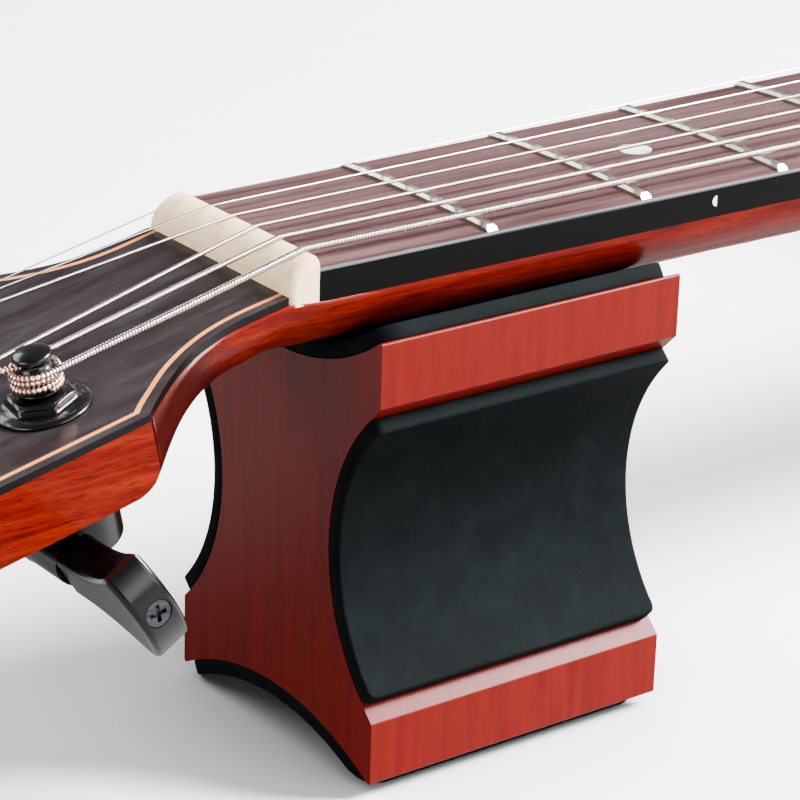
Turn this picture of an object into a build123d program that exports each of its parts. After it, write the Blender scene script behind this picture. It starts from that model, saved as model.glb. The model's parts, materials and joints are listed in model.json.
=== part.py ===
from build123d import *
from math import asin, cos, degrees, pi, radians, sin, sqrt, tan
import os

os.makedirs("parts", exist_ok=True)

# Steel-string acoustic guitar lying on its back, with its neck in a four-sided neck rest.
# Frame: +X runs along the neck from the headstock to the tail, -Y is the bass side, +Z is up.
# The origin is on the floor, below the middle of the object. Millimetres.

# ---------------------------------------------------------------- driving dimensions
# neck rest
BLOCK_LENGTH = 66.0            # along the neck
BLOCK_WIDTH = 59.4
BLOCK_HEIGHT = 84.0
BLOCK_LIFT = 2.0               # the lower pad's feet carry the wood this far above the floor
BLOCK_ACROSS = 1.4             # the rest stands this far to the treble side of the neck's middle
BLOCK_EDGE = 0.5               # rounding of the long edges
NECK_CHANNEL_DEPTH = 10.2
FOOT_CHANNEL_DEPTH = 8.2
SIDE_RADIUS = 38.0
SIDE_HALF_CHORD = 27.2
NEAR_DEPTH = 14.0
FAR_DEPTH = 12.2
PAD_THICKNESS = 3.0
TOP_PAD_INSET = 0.8            # bare wood left at each end of the upper pad
FOOT_PAD_INSET = 0.3           # and of the lower pad, whose feet are cut flat
PAD_CORNER = 6.0

# guitar, measured from the front face of the nut
SCALE = 648.0
NUT_WIDTH = 43.0
NUT_THICKNESS = 6.0
NUT_OVER_BLOCK = 8.3           # the nut stands this far outside the rest's end face
FRETBOARD_TOP = 98.5           # height of the fretboard's long edges above the floor
FRETBOARD_THICKNESS = 6.0
FRETBOARD_RADIUS = 400.0
FRETS = 20
FRET_HEIGHT = 1.0
FRET_WIDTH = 2.2
NECK_DEPTH = 12.9              # below the fretboard, at the nut
BODY_FRET = 14                 # the neck meets the body here
STRING_PITCH = 6.9
ACTION_NUT = 0.35              # strings above the first frets
ACTION_TWELFTH = 2.4
STRING_RADII = (0.675, 0.535, 0.41, 0.31, 0.205, 0.155)
STRING_NAMES = ("low_e", "a", "d", "g", "b", "high_e")

# headstock, measured along its own face from the back of the nut
HEAD_ANGLE = 12.0
HEAD_LENGTH = 166.0
HEAD_WOOD = 12.0
OVERLAY = 1.3
OVERLAY_RISE = 1.956                             # its face above the deck, behind the nut
HEAD_SHOULDER = 37.4           # where the shoulder ends in a sharp corner
HEAD_CORNER = 35.9             # half-width at that corner
HEAD_TIP = 38.2                # half-width at the tip
FRONT_ROUNDING = 4.0           # under the headstock's front edge
PURFLING_INSET = 1.8
PURFLING_WIDTH = 0.9
PURFLING_DEPTH = 0.6

NUT_TOP = 100.3                # crest of the nut at its front face
TRUSS_WIDTH = 6.0
TRUSS_DEPTH = 9.0

# tuners
UPWARD = (Align.CENTER, Align.CENTER, Align.MIN)
BUSHING_RADIUS = 4.8
HEX_FLATS = 10.4
HEX_TURN = 21.8
WASHER = 1.0
WASHER_RADIUS = 8.15
CAP_RADIUS = 3.35
COIL_OUTER = 4.45
WOUND_TO = (1, -1, -1, 1, 1, 1)        # the low E is wound round the outer side of its post
STRING_GAP = 4.3
WHEEL_RADIUS = 3.6
WHEEL_TEETH = 18
WORM_CREST = 2.1
BOSS_RADIUS = 4.2
BOSS_REACH = 13.2
BUTTON_ARCH = 3.0
BUTTON_ROOT = 4.2
SCREW_SHANK = 1.2
SCREW_HEAD = 2.25
SCREW_DEPTH = 8.0
EAR_REACH = 11.2
POST_STATIONS = (47.2, 85.2, 123.2)
POST_ACROSS = (19.5, 20.8, 22.1)
POST_RADIUS = 3.0
POST_TOP = 9.9
WAIST_RADIUS = 3.1
COIL_BOTTOM = 3.6
WORM_OFFSET = 6.0              # worm axis to post axis
WORM_DROP = 20.6               # worm axis below the overlay's face
WORM_RADIUS = 1.9
RUNNING = 0.05                 # radial clearance of shafts in their bores
HOUSING_RADIUS = 8.7
BUTTON_REACH = 36.5            # post axis to the button's outer end
BUTTON_LENGTH = 22.0
BUTTON_HALF_WIDTH = 9.2
BUTTON_THICKNESS = 7.0
BUTTON_TURNS = (70, 8, 76, 30, 98, 15)

# body
BODY_LENGTH = 492.0
UPPER_BOUT = 138.0
WAIST = 119.0
LOWER_BOUT = 190.0
UPPER_BOUT_PLACE = 92.0                        # the upper bout's widest place, counted from the heel's end
UPPER_BOUT_RADIUS = 85.0                       # arcs of the body's plan
WAIST_BEND_RADIUS = 145.0
LOWER_BOUT_RADIUS = 118.0
TOP_PLATE = 2.8
BACK_PLATE = 2.8
SIDE_PLATE = 2.2
BINDING_HEIGHT = 5.5
BACK_BRACE_WIDTH = 8.0
BACK_BRACE_HEIGHT = 12.0
SOUNDHOLE_RADIUS = 50.0
SADDLE_SETBACK = 2.0
SADDLE_LENGTH = 72.0
SADDLE_THICKNESS = 3.0
BRIDGE_HEIGHT = 9.5
PIN_RADIUS = 2.5
PIN_FLANGE = 1.1
PIN_SETBACK = 13.0             # pins behind the saddle
ROSETTE_DEPTH = 1.0
LINING_WIDTH = 6.0
LINING_HEIGHT = 12.0
NECK_BLOCK_LENGTH = 36.0
NECK_BLOCK_WIDTH = 84.0
TAIL_BLOCK_LENGTH = 20.0
TAIL_BLOCK_WIDTH = 90.0
END_PIN_RADIUS = 4.5
END_PIN_HEIGHT = 46.0
END_PIN_REACH = 11.5

# ---------------------------------------------------------------- places worked out from them
HEAD_RUN = NUT_THICKNESS + HEAD_LENGTH * cos(radians(HEAD_ANGLE))
BODY_START = SCALE * (1 - 2 ** (-BODY_FRET / 12))
TAIL = BODY_START + BODY_LENGTH
NUT_X = -(TAIL + END_PIN_REACH - HEAD_RUN) / 2
BLOCK_START = NUT_X + NUT_OVER_BLOCK
BLOCK_TOP = BLOCK_LIFT + BLOCK_HEIGHT
HALF_WIDTH = BLOCK_WIDTH / 2
SIDE_CENTRE_Z = BLOCK_LIFT + BLOCK_HEIGHT / 2
BLOCK_PLANE = Plane(origin=(BLOCK_START, BLOCK_ACROSS, 0), x_dir=(0, 1, 0), z_dir=(1, 0, 0))
DECK = FRETBOARD_TOP - FRETBOARD_THICKNESS          # underside of the fretboard, top of the soundboard
CROWN = FRETBOARD_RADIUS - sqrt(FRETBOARD_RADIUS ** 2 - (NUT_WIDTH / 2) ** 2)
FRETBOARD_CENTRE = FRETBOARD_TOP + CROWN
OVERLAY_TOP = DECK + OVERLAY_RISE
SOUNDHOLE_X = NUT_X + 500.0
SADDLE_X = NUT_X + SCALE + SADDLE_SETBACK
X_BRACE_X = SOUNDHOLE_X + 84.0
BACK_BRACE_PLACES = [NUT_X + BODY_START + along for along in (72.0, 172.0, 282.0, 386.0)]
PIN_PLACES = [(SADDLE_X + PIN_SETBACK, (number - 2.5) * 10.6) for number in range(6)]
POST_PLACES = [
    (along, side * across) for side in (1, -1) for along, across in zip(POST_STATIONS, POST_ACROSS)
]

HEAD_PLANE = Plane(
    origin=(NUT_X - NUT_THICKNESS, 0, OVERLAY_TOP),
    x_dir=(-cos(radians(HEAD_ANGLE)), 0, -sin(radians(HEAD_ANGLE))),
    z_dir=(-sin(radians(HEAD_ANGLE)), 0, cos(radians(HEAD_ANGLE))),
)


def head_point(along, across, height):
    """A point given along the headstock, towards the bass side, and above the overlay."""
    return HEAD_PLANE.from_local_coords(Vector(along, across, height))


def fret_x(number):
    return NUT_X + SCALE * (1 - 2 ** (-number / 12))


def board_half_width(x):
    """Half the fretboard's width: it spreads by 12.2 mm over the first 359 mm."""
    return NUT_WIDTH / 2 + (x - NUT_X) * 6.1 / 359.4


def write(piece, name):
    piece.part.label = name
    export_step(piece.part, f"parts/{name}.step")


# ---------------------------------------------------------------- neck rest
def channel_radius(depth):
    return (HALF_WIDTH ** 2 + depth ** 2) / (2 * depth)


def side_lip(depth):
    """How deep a side channel still is at the end of its pad."""
    return depth - SIDE_RADIUS + sqrt(SIDE_RADIUS ** 2 - SIDE_HALF_CHORD ** 2)


def side_channel(sign, depth):
    """One side of the block's end outline, from the foot up: face, bevel, hollow, bevel, face."""
    lip = side_lip(depth)
    face = sign * HALF_WIDTH
    low = SIDE_CENTRE_Z - SIDE_HALF_CHORD
    high = SIDE_CENTRE_Z + SIDE_HALF_CHORD
    Polyline((face, BLOCK_LIFT), (face, low - lip), (face - sign * lip, low))
    ThreePointArc((face - sign * lip, low), (face - sign * depth, SIDE_CENTRE_Z), (face - sign * lip, high))
    Polyline((face - sign * lip, high), (face, high + lip), (face, BLOCK_TOP))


with BuildPart() as rest_block:
    with BuildSketch(BLOCK_PLANE):
        with BuildLine():
            side_channel(-1, NEAR_DEPTH)
            side_channel(1, FAR_DEPTH)
            ThreePointArc(
                (-HALF_WIDTH, BLOCK_TOP), (0, BLOCK_TOP - NECK_CHANNEL_DEPTH), (HALF_WIDTH, BLOCK_TOP)
            )
            ThreePointArc(
                (-HALF_WIDTH, BLOCK_LIFT), (0, BLOCK_LIFT + FOOT_CHANNEL_DEPTH), (HALF_WIDTH, BLOCK_LIFT)
            )
        make_face()
    extrude(amount=BLOCK_LENGTH)
    long_edges = rest_block.edges().filter_by(Axis.X)
    fillet(
        [e for e in long_edges if abs(abs(e.center().Y - BLOCK_ACROSS) - HALF_WIDTH) < 0.01],
        radius=BLOCK_EDGE
    )
write(rest_block, "rest_block")


def pad(name, centre, radius, middle_angle, half_angle, corner):
    """A rubber strip lining a channel: radius is the channel's, the strip lies inside it."""
    with BuildPart() as strip:
        with BuildSketch(BLOCK_PLANE):
            with BuildLine():
                outer = CenterArc(centre, radius, middle_angle - half_angle, 2 * half_angle)
                inner = CenterArc(centre, radius - PAD_THICKNESS, middle_angle - half_angle, 2 * half_angle)
                Line(outer @ 0, inner @ 0)
                Line(outer @ 1, inner @ 1)
            make_face()
        extrude(amount=BLOCK_LENGTH)
        ends = [e for e in strip.edges().filter_by(GeomType.LINE) if abs(e.length - PAD_THICKNESS) < 0.01]
        fillet(ends, radius=corner)
        with Locations((BLOCK_START, BLOCK_ACROSS, 0)):
            Box(3 * BLOCK_LENGTH, 2 * BLOCK_WIDTH, 10, align=(Align.CENTER, Align.CENTER, Align.MAX),
                mode=Mode.SUBTRACT)
    write(strip, name)


def pad_half_angle(radius, inset):
    return degrees(asin((HALF_WIDTH - inset) / radius))


neck_radius = channel_radius(NECK_CHANNEL_DEPTH)
foot_radius = channel_radius(FOOT_CHANNEL_DEPTH)
side_half_angle = degrees(asin(SIDE_HALF_CHORD / SIDE_RADIUS))
pad("pad_top", (0, BLOCK_TOP - NECK_CHANNEL_DEPTH + neck_radius), neck_radius, 270,
    pad_half_angle(neck_radius, TOP_PAD_INSET), PAD_CORNER)
pad("pad_bottom", (0, BLOCK_LIFT + FOOT_CHANNEL_DEPTH - foot_radius), foot_radius, 90,
    pad_half_angle(foot_radius, FOOT_PAD_INSET), PAD_CORNER)
pad("pad_near", (-HALF_WIDTH + NEAR_DEPTH - SIDE_RADIUS, SIDE_CENTRE_Z), SIDE_RADIUS, 0, side_half_angle, 2.0)
pad("pad_far", (HALF_WIDTH - FAR_DEPTH + SIDE_RADIUS, SIDE_CENTRE_Z), SIDE_RADIUS, 180, side_half_angle, 2.0)


# ---------------------------------------------------------------- neck and headstock
def rounded_outline(half_width, depth, fullness):
    """Flat on top and round below: fullness 2 is half an ellipse, more is boxier."""
    steps = 12
    points = []
    for i in range(steps + 1):
        turn = pi * i / steps
        across = -half_width * abs(cos(turn)) ** (2 / fullness) * (1 if turn < pi / 2 else -1)
        points.append((across, -depth * abs(sin(turn)) ** (2 / fullness)))
    Spline(*points, tangents=((0, -1), (0, 1)))
    Line(points[-1], points[0])


def heel_outline(reach, half_width):
    """Flat against the body and round towards the headstock."""
    join = NUT_X + BODY_START
    steps = 10
    points = []
    for i in range(steps + 1):
        turn = pi * i / steps
        points.append((join - reach * sin(turn), -half_width * cos(turn)))
    Spline(*points, tangents=((-1, 0), (1, 0)))
    Line(points[-1], points[0])


def neck_plane(x):
    """A cross-section of the neck: its x is the part's Y, its y is up from the deck."""
    return Plane(origin=(x, 0, DECK), x_dir=(0, 1, 0), z_dir=(1, 0, 0))


def head_section_plane(along):
    """A cross-section of the headstock's wood, square to its face."""
    return Plane(origin=head_point(along, 0, -OVERLAY), x_dir=(0, 1, 0), z_dir=-HEAD_PLANE.x_dir)


# behind the nut: station, half-width, depth of wood, fullness; the shoulder sweeps out to a sharp corner
SHOULDER = (
    (0.0, 21.3, 13.5, 2.0), (6.0, 21.15, 12.9, 2.05), (12.0, 21.4, 12.5, 2.15), (17.0, 22.5, 12.2, 2.3),
    (22.0, 24.5, 12.0, 2.55), (27.0, 27.4, 11.9, 2.9), (32.0, 31.2, 11.8, 3.4),
)
# under the nut the same sections lie just inside the neck's shaft
UNDER_NUT = ((-12.0, 21.3, 16.25, 2.0), (-6.0, 21.3, 14.9, 2.0))
BOARD_START = HEAD_SHOULDER - 2.5
# down the heel: drop below the deck, reach towards the headstock, half-width
HEEL = ((4.0, 62.0, 27.3), (13.0, 40.0, 26.0), (27.0, 23.0, 22.5), (48.0, 15.0, 17.5), (76.0, 11.0, 13.0))
HEAD_CORNER_POINT = head_point(HEAD_SHOULDER, 0, -OVERLAY)
# the overlay's seat starts at the nut's back, a little above the deck
SEAT_X = NUT_X - NUT_THICKNESS
SEAT_Z = OVERLAY_TOP - OVERLAY / cos(radians(HEAD_ANGLE))

with BuildPart() as head_board:
    with BuildSketch(HEAD_PLANE.offset(-OVERLAY - HEAD_WOOD)):
        with BuildLine():
            Polyline(
                (BOARD_START, 2.6 - HEAD_CORNER), (HEAD_SHOULDER, -HEAD_CORNER),
                (HEAD_LENGTH - 12, -HEAD_TIP),
                (HEAD_LENGTH - 3, -HEAD_TIP + 12),
            )
            ThreePointArc(
                (HEAD_LENGTH - 3, -HEAD_TIP + 12), (HEAD_LENGTH, 0), (HEAD_LENGTH - 3, HEAD_TIP - 12)
            )
            Polyline(
                (HEAD_LENGTH - 3, HEAD_TIP - 12), (HEAD_LENGTH - 12, HEAD_TIP), (HEAD_SHOULDER, HEAD_CORNER),
                (BOARD_START, HEAD_CORNER - 2.6), (BOARD_START, 2.6 - HEAD_CORNER),
            )
        make_face()
    extrude(amount=HEAD_WOOD)
    front = []
    for edge in head_board.edges():
        place = HEAD_PLANE.to_local_coords(edge.center())
        if place.X < HEAD_SHOULDER and place.Z < 0.1 - OVERLAY - HEAD_WOOD:
            front.append(edge)
    fillet(front, radius=FRONT_ROUNDING)

with BuildPart() as neck:
    # shaft
    for along, depth in ((0.0, NECK_DEPTH), (120.0, 13.5), (240.0, 14.3), (BODY_START - 1.0, 15.4)):
        with BuildSketch(neck_plane(NUT_X + along)):
            with BuildLine():
                rounded_outline(board_half_width(NUT_X + along), depth, 2.0)
            make_face()
    loft()
    # from the shaft, under the nut and out to the shoulders
    for along, half_width, depth, fullness in UNDER_NUT + SHOULDER:
        with BuildSketch(head_section_plane(along)):
            with BuildLine():
                rounded_outline(half_width, depth, fullness)
            make_face()
    with BuildSketch(head_section_plane(HEAD_SHOULDER - 1.0)):
        with BuildLine():
            rounded_outline(HEAD_CORNER - 2.6, HEAD_WOOD - 0.5, 3.2)
        make_face()
    loft()
    # flat seat for the nut and the overlay
    with BuildSketch(Plane.XZ):
        with BuildLine():
            Polyline(
                (NUT_X + 24.0, DECK), (SEAT_X, DECK), (SEAT_X, SEAT_Z),
                (HEAD_CORNER_POINT.X, HEAD_CORNER_POINT.Z), (HEAD_CORNER_POINT.X, DECK + 12.0),
                (NUT_X + 24.0, DECK + 12.0), close=True,
            )
        make_face()
    extrude(amount=60, both=True, mode=Mode.SUBTRACT)
    add(head_board.part)
    # heel: the sections shrink and draw back towards the body on the way down
    for drop, reach, half_width in HEEL:
        with BuildSketch(Plane.XY.offset(DECK - drop)):
            with BuildLine():
                heel_outline(reach, half_width)
            make_face()
    loft()

    # slot for the truss rod, open at the top
    with BuildSketch(Plane.XY.offset(DECK)):
        with Locations((NUT_X + BODY_START / 2, 0)):
            Rectangle(BODY_START - 16.0, TRUSS_WIDTH)
    extrude(amount=-TRUSS_DEPTH, mode=Mode.SUBTRACT)
    # holes for the tuners' bushings
    with BuildSketch(HEAD_PLANE):
        with Locations(*POST_PLACES):
            Circle(BUSHING_RADIUS)
    extrude(amount=-30, mode=Mode.SUBTRACT)
    # pilot holes for the tuners' mounting screws
    with BuildSketch(HEAD_PLANE.offset(-OVERLAY - HEAD_WOOD)):
        with Locations(*[(along - EAR_REACH, across) for along, across in POST_PLACES]):
            Circle(SCREW_SHANK)
    extrude(amount=SCREW_DEPTH, mode=Mode.SUBTRACT)
write(neck, "neck")


def shoulder_points(inset):
    """The shoulder's outline from the nut to the sharp corner, moved square to itself by the inset."""
    points = [Vector(along, half_width) for along, half_width, _, _ in SHOULDER]
    points.append(Vector(HEAD_SHOULDER, HEAD_CORNER))
    moved = []
    for i, point in enumerate(points):
        along = (points[min(i + 1, len(points) - 1)] - points[max(i - 1, 0)]).normalized()
        moved.append(point + Vector(along.Y, -along.X) * inset)
    # at the corner the shoulder's line meets the line inside the straight edge
    reach = (points[-1].Y - inset - moved[-1].Y) / 0.74
    moved[-1] = moved[-1] + Vector(0.68, 0.74) * reach
    return [(point.X, point.Y) for point in moved]


def head_outline(start, inset=0.0):
    """The overlay's outline, from a straight end across the neck to the tip."""
    points = shoulder_points(inset)
    points[0] = (start, points[0][1])
    tip = HEAD_LENGTH - inset
    for side in (-1, 1):
        Spline(*[(along, side * across) for along, across in points], tangents=((1, 0), (0.68, side * 0.74)))
        Polyline(
            (points[-1][0], side * points[-1][1]), (tip - 12, side * (HEAD_TIP - inset)),
            (tip - 3, side * (HEAD_TIP - 12)),
        )
    ThreePointArc((tip - 3, 12 - HEAD_TIP), (tip, 0), (tip - 3, HEAD_TIP - 12))
    Line((start, -points[0][1]), (start, points[0][1]))


with BuildPart() as headstock_purfling:
    with BuildSketch(HEAD_PLANE):
        with BuildLine():
            head_outline(0.0, PURFLING_INSET)
        make_face()
        with BuildLine():
            head_outline(0.0, PURFLING_INSET + PURFLING_WIDTH)
        make_face(mode=Mode.SUBTRACT)
    extrude(amount=-PURFLING_DEPTH)
    with Locations((NUT_X - NUT_THICKNESS, 0, DECK)):
        Box(20, 60, 20, align=(Align.MIN, Align.CENTER, Align.CENTER), mode=Mode.SUBTRACT)
write(headstock_purfling, "headstock_purfling")

with BuildPart() as headstock_overlay:
    with BuildSketch(HEAD_PLANE.offset(-OVERLAY)):
        with BuildLine():
            head_outline(0.0)
        make_face()
        with Locations(*POST_PLACES):
            Circle(BUSHING_RADIUS, mode=Mode.SUBTRACT)
    extrude(amount=OVERLAY)
    with Locations((NUT_X - NUT_THICKNESS, 0, DECK)):
        Box(20, 60, 20, align=(Align.MIN, Align.CENTER, Align.CENTER), mode=Mode.SUBTRACT)
    add(headstock_purfling.part, mode=Mode.SUBTRACT)
write(headstock_overlay, "headstock_overlay")

with BuildPart() as truss_rod:
    with BuildSketch(Plane.XY.offset(DECK - TRUSS_DEPTH)):
        with Locations((NUT_X + BODY_START / 2, 0)):
            Rectangle(BODY_START - 16.0, TRUSS_WIDTH)
    extrude(amount=TRUSS_DEPTH - 0.5)
write(truss_rod, "truss_rod")


# ---------------------------------------------------------------- fretboard, frets, dots, nut
BOARD_END = fret_x(FRETS) + 3.0
CROWN_AXIS = FRETBOARD_CENTRE - FRETBOARD_RADIUS


def crowned_slab(half_width, bottom, radius):
    """Outline across the neck: flat below, crowned above."""
    side = CROWN_AXIS + sqrt(radius ** 2 - half_width ** 2)
    Polyline((-half_width, side), (-half_width, bottom), (half_width, bottom), (half_width, side))
    ThreePointArc((-half_width, side), (0, CROWN_AXIS + radius), (half_width, side))


def crown(across, radius=FRETBOARD_RADIUS):
    """Height of the crowned surface at a distance from the centre line."""
    return CROWN_AXIS + sqrt(radius ** 2 - across ** 2)


def dot_places():
    """Frets that carry a dot, and the dots' distances from the centre line."""
    places = []
    for fret, offsets in (
        (3, (0,)), (5, (0,)), (7, (0,)), (9, (0,)), (12, (-13, 13)), (15, (0,)), (17, (0,))
    ):
        middle = (fret_x(fret) + fret_x(fret - 1)) / 2
        places.append((middle, offsets))
    return places


with BuildPart() as fretboard_blank:
    with BuildSketch(Plane.XY.offset(DECK)):
        start = board_half_width(NUT_X)
        end = board_half_width(BOARD_END)
        with BuildLine():
            Polyline((NUT_X, -start), (BOARD_END, -end), (BOARD_END, end), (NUT_X, start), close=True)
        make_face()
    extrude(amount=12)
    with BuildSketch(Plane.YZ.offset(NUT_X)):
        with BuildLine():
            crowned_slab(40.0, DECK, FRETBOARD_RADIUS)
        make_face()
    extrude(amount=BOARD_END - NUT_X, mode=Mode.INTERSECT)

with BuildPart() as inlay_dots:
    for middle, offsets in dot_places():
        for across in offsets:
            with BuildSketch(Plane.XY.offset(DECK)):
                with Locations((middle, across)):
                    Circle(3.1)
            extrude(amount=12)
    with BuildSketch(Plane.YZ.offset(NUT_X)):
        with BuildLine():
            crowned_slab(40.0, DECK + FRETBOARD_THICKNESS - 2.0, FRETBOARD_RADIUS)
        make_face()
    extrude(amount=BOARD_END - NUT_X, mode=Mode.INTERSECT)
    for middle, offsets in dot_places():
        edge = board_half_width(middle)
        shifts = (-4.0, 4.0) if len(offsets) == 2 else (0.0,)
        for shift in shifts:
            with BuildSketch(Plane.XZ.offset(edge - 1.5)):
                with Locations((middle + shift, DECK + FRETBOARD_THICKNESS / 2)):
                    Circle(1.0)
            extrude(amount=1.5)
write(inlay_dots, "inlay_dots")

with BuildPart() as fretboard:
    add(fretboard_blank.part)
    top_edges = [e for e in fretboard.edges() if e.length > 400 and e.center().Z > DECK + 5]
    fillet(top_edges, radius=0.7)
    add(inlay_dots.part, mode=Mode.SUBTRACT)
write(fretboard, "fretboard")

with BuildPart() as frets:
    for number in range(1, FRETS + 1):
        x = fret_x(number)
        reach = board_half_width(x) - 0.5
        top = CROWN_AXIS + FRETBOARD_RADIUS + FRET_HEIGHT
        with BuildSketch(Plane.YZ.offset(x - FRET_WIDTH / 2)):
            with BuildLine():
                low = crown(reach)
                high = CROWN_AXIS + sqrt((FRETBOARD_RADIUS + FRET_HEIGHT) ** 2 - (reach - 0.8) ** 2)
                ThreePointArc((-reach, low), (0, FRETBOARD_CENTRE), (reach, low))
                ThreePointArc((-reach + 0.8, high), (0, top), (reach - 0.8, high))
                Line((-reach, low), (-reach + 0.8, high))
                Line((reach, low), (reach - 0.8, high))
            make_face()
        bar = extrude(amount=FRET_WIDTH)
        crest = [e for e in bar.edges().filter_by(GeomType.CIRCLE) if e.center().Z > crown(0) - 0.2]
        upper = [e for e in crest if e.position_at(0.5).Z > top - 0.05]
        chamfer(upper, length=0.5)
write(frets, "frets")


def string_across(number, at_saddle):
    """Distance of a string from the centre line, low E first, bass side negative."""
    pitch = STRING_PITCH + (10.6 - STRING_PITCH) * at_saddle
    return (number - 2.5) * pitch


def nut_string_z(number):
    """Centre of a string where it crosses the nut."""
    return crown(string_across(number, 0)) + FRET_HEIGHT + ACTION_NUT + STRING_RADII[number]


def saddle_string_z(number):
    """Centre of a string where it crosses the saddle: the action doubles from the twelfth fret."""
    over_board = crown(string_across(number, 0.5)) + FRET_HEIGHT + ACTION_TWELFTH + STRING_RADII[number]
    return 2 * over_board - nut_string_z(number)


HEAD_BACK = -OVERLAY - HEAD_WOOD                 # heights here are above the overlay's face
CAVITY_TOP = HEAD_BACK - 1.2
CAVITY_FLOOR = -WORM_DROP - 3.1
HOUSING_FLOOR = CAVITY_FLOOR - 1.3
BUSHING_TOP = 2.6
SHAFT_END = BUTTON_REACH - 5.0
SCREW_SEAT = BUTTON_REACH - 1.3


def tuner_frame(along, across):
    """x towards the tip, y towards the bass side, z out of the headstock's face, on the post's axis."""
    return Plane(origin=head_point(along, across, 0), x_dir=HEAD_PLANE.x_dir, z_dir=HEAD_PLANE.z_dir)


def half_section(frame):
    """Plane of a turned piece's half-section: its x is the radius, its y the frame's z."""
    return Plane(origin=frame.origin, x_dir=frame.x_dir, z_dir=-frame.y_dir)


def worm_frame(frame, side):
    """On the worm's axis, beside the post: z points outward along the shaft, x is the headstock's normal."""
    origin = frame.from_local_coords(Vector(WORM_OFFSET, 0, -WORM_DROP))
    return Plane(origin=origin, x_dir=frame.z_dir, z_dir=frame.y_dir * side)


def button_frame(worm_plane, turn):
    """x outward along the shaft, y across the button's broad way, turned from the headstock's face."""
    tipward = HEAD_PLANE.x_dir
    normal = HEAD_PLANE.z_dir
    broad = tipward * cos(radians(turn)) + normal * sin(radians(turn))
    return Plane(origin=worm_plane.origin, x_dir=worm_plane.z_dir, z_dir=worm_plane.z_dir.cross(broad))


def coil_turns(wire):
    return 3 if wire > 0.5 else 4


def waist_radius(wire):
    return min(WAIST_RADIUS, COIL_OUTER - 2 * wire)


def string_start(number, frame):
    """Where the free string leaves its coil, just short of the post on the side it is wound to."""
    wire = STRING_RADII[number]
    height = COIL_BOTTOM + (coil_turns(wire) - 0.5) * 2 * wire
    across = WOUND_TO[number] * (waist_radius(wire) + wire)
    return frame.from_local_coords(Vector(-STRING_GAP, across, height))


bass_side = [(1, along, across) for along, across in zip(POST_STATIONS, POST_ACROSS)]
tuners = bass_side + [(-1, along, across) for _, along, across in reversed(bass_side)]
STRING_STARTS = [
    string_start(number, tuner_frame(along, side * across))
    for number, (side, along, across) in enumerate(tuners)
]
NUT_CROSSINGS = [Vector(NUT_X - 0.6, string_across(number, 0), nut_string_z(number)) for number in range(6)]


with BuildPart() as nut:
    with BuildSketch(Plane.XZ.offset(-NUT_WIDTH / 2)):
        with BuildLine():
            back = NUT_X - NUT_THICKNESS
            Polyline((NUT_X, NUT_TOP), (NUT_X, DECK), (back, DECK), (back, NUT_TOP - 4.2))
            Spline(
                (back, NUT_TOP - 4.2), (back + 2.5, NUT_TOP - 1.2), (NUT_X, NUT_TOP),
                tangents=((0.3, 1), (1, 0.05))
            )
        make_face()
    extrude(amount=NUT_WIDTH)
    round_ends = [
        e for e in nut.edges()
        if abs(abs(e.center().Y) - NUT_WIDTH / 2) < 0.01 and e.center().Z > NUT_TOP - 3
    ]
    fillet(round_ends, radius=1.6)
    for number, radius in enumerate(STRING_RADII):
        crossing = NUT_CROSSINGS[number]
        backward = STRING_STARTS[number] - crossing
        for direction in (Vector(1, 0, 0), backward):
            sideways = Vector(0, 0, 1).cross(direction)
            with BuildSketch(Plane(origin=crossing, x_dir=sideways, z_dir=direction)):
                Circle(radius + 0.06)
                with Locations((0, 3)):
                    Rectangle(2 * radius + 0.12, 6)
            extrude(amount=NUT_THICKNESS + 4, mode=Mode.SUBTRACT)
write(nut, "nut")


# ---------------------------------------------------------------- body of the guitar
HEEL_END = NUT_X + BODY_START
TAIL_END = NUT_X + TAIL
# the plan is drawn with arcs, each tangent to the next: heel end, upper bout, waist, lower bout, tail end
UPPER_CENTRE = Vector(HEEL_END + UPPER_BOUT_PLACE, UPPER_BOUT - UPPER_BOUT_RADIUS)
WAIST_Y = WAIST + WAIST_BEND_RADIUS
UPPER_TO_WAIST = sqrt((UPPER_BOUT_RADIUS + WAIST_BEND_RADIUS) ** 2 - (WAIST_Y - UPPER_CENTRE.Y) ** 2)
WAIST_CENTRE = Vector(UPPER_CENTRE.X + UPPER_TO_WAIST, WAIST_Y)
LOWER_Y = LOWER_BOUT - LOWER_BOUT_RADIUS
WAIST_TO_LOWER = sqrt((LOWER_BOUT_RADIUS + WAIST_BEND_RADIUS) ** 2 - (WAIST_Y - LOWER_Y) ** 2)
LOWER_CENTRE = Vector(WAIST_CENTRE.X + WAIST_TO_LOWER, LOWER_Y)


def end_radius(reach, centre, radius):
    """Radius of the arc that crosses the centre line squarely at that reach from the bout's centre."""
    return (reach ** 2 + centre.Y ** 2 - radius ** 2) / (2 * (reach - radius))


HEEL_RADIUS = end_radius(UPPER_BOUT_PLACE, UPPER_CENTRE, UPPER_BOUT_RADIUS)
HEEL_CENTRE = Vector(HEEL_END + HEEL_RADIUS, 0)
TAIL_RADIUS = end_radius(TAIL_END - LOWER_CENTRE.X, LOWER_CENTRE, LOWER_BOUT_RADIUS)
TAIL_CENTRE = Vector(TAIL_END - TAIL_RADIUS, 0)


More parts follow.
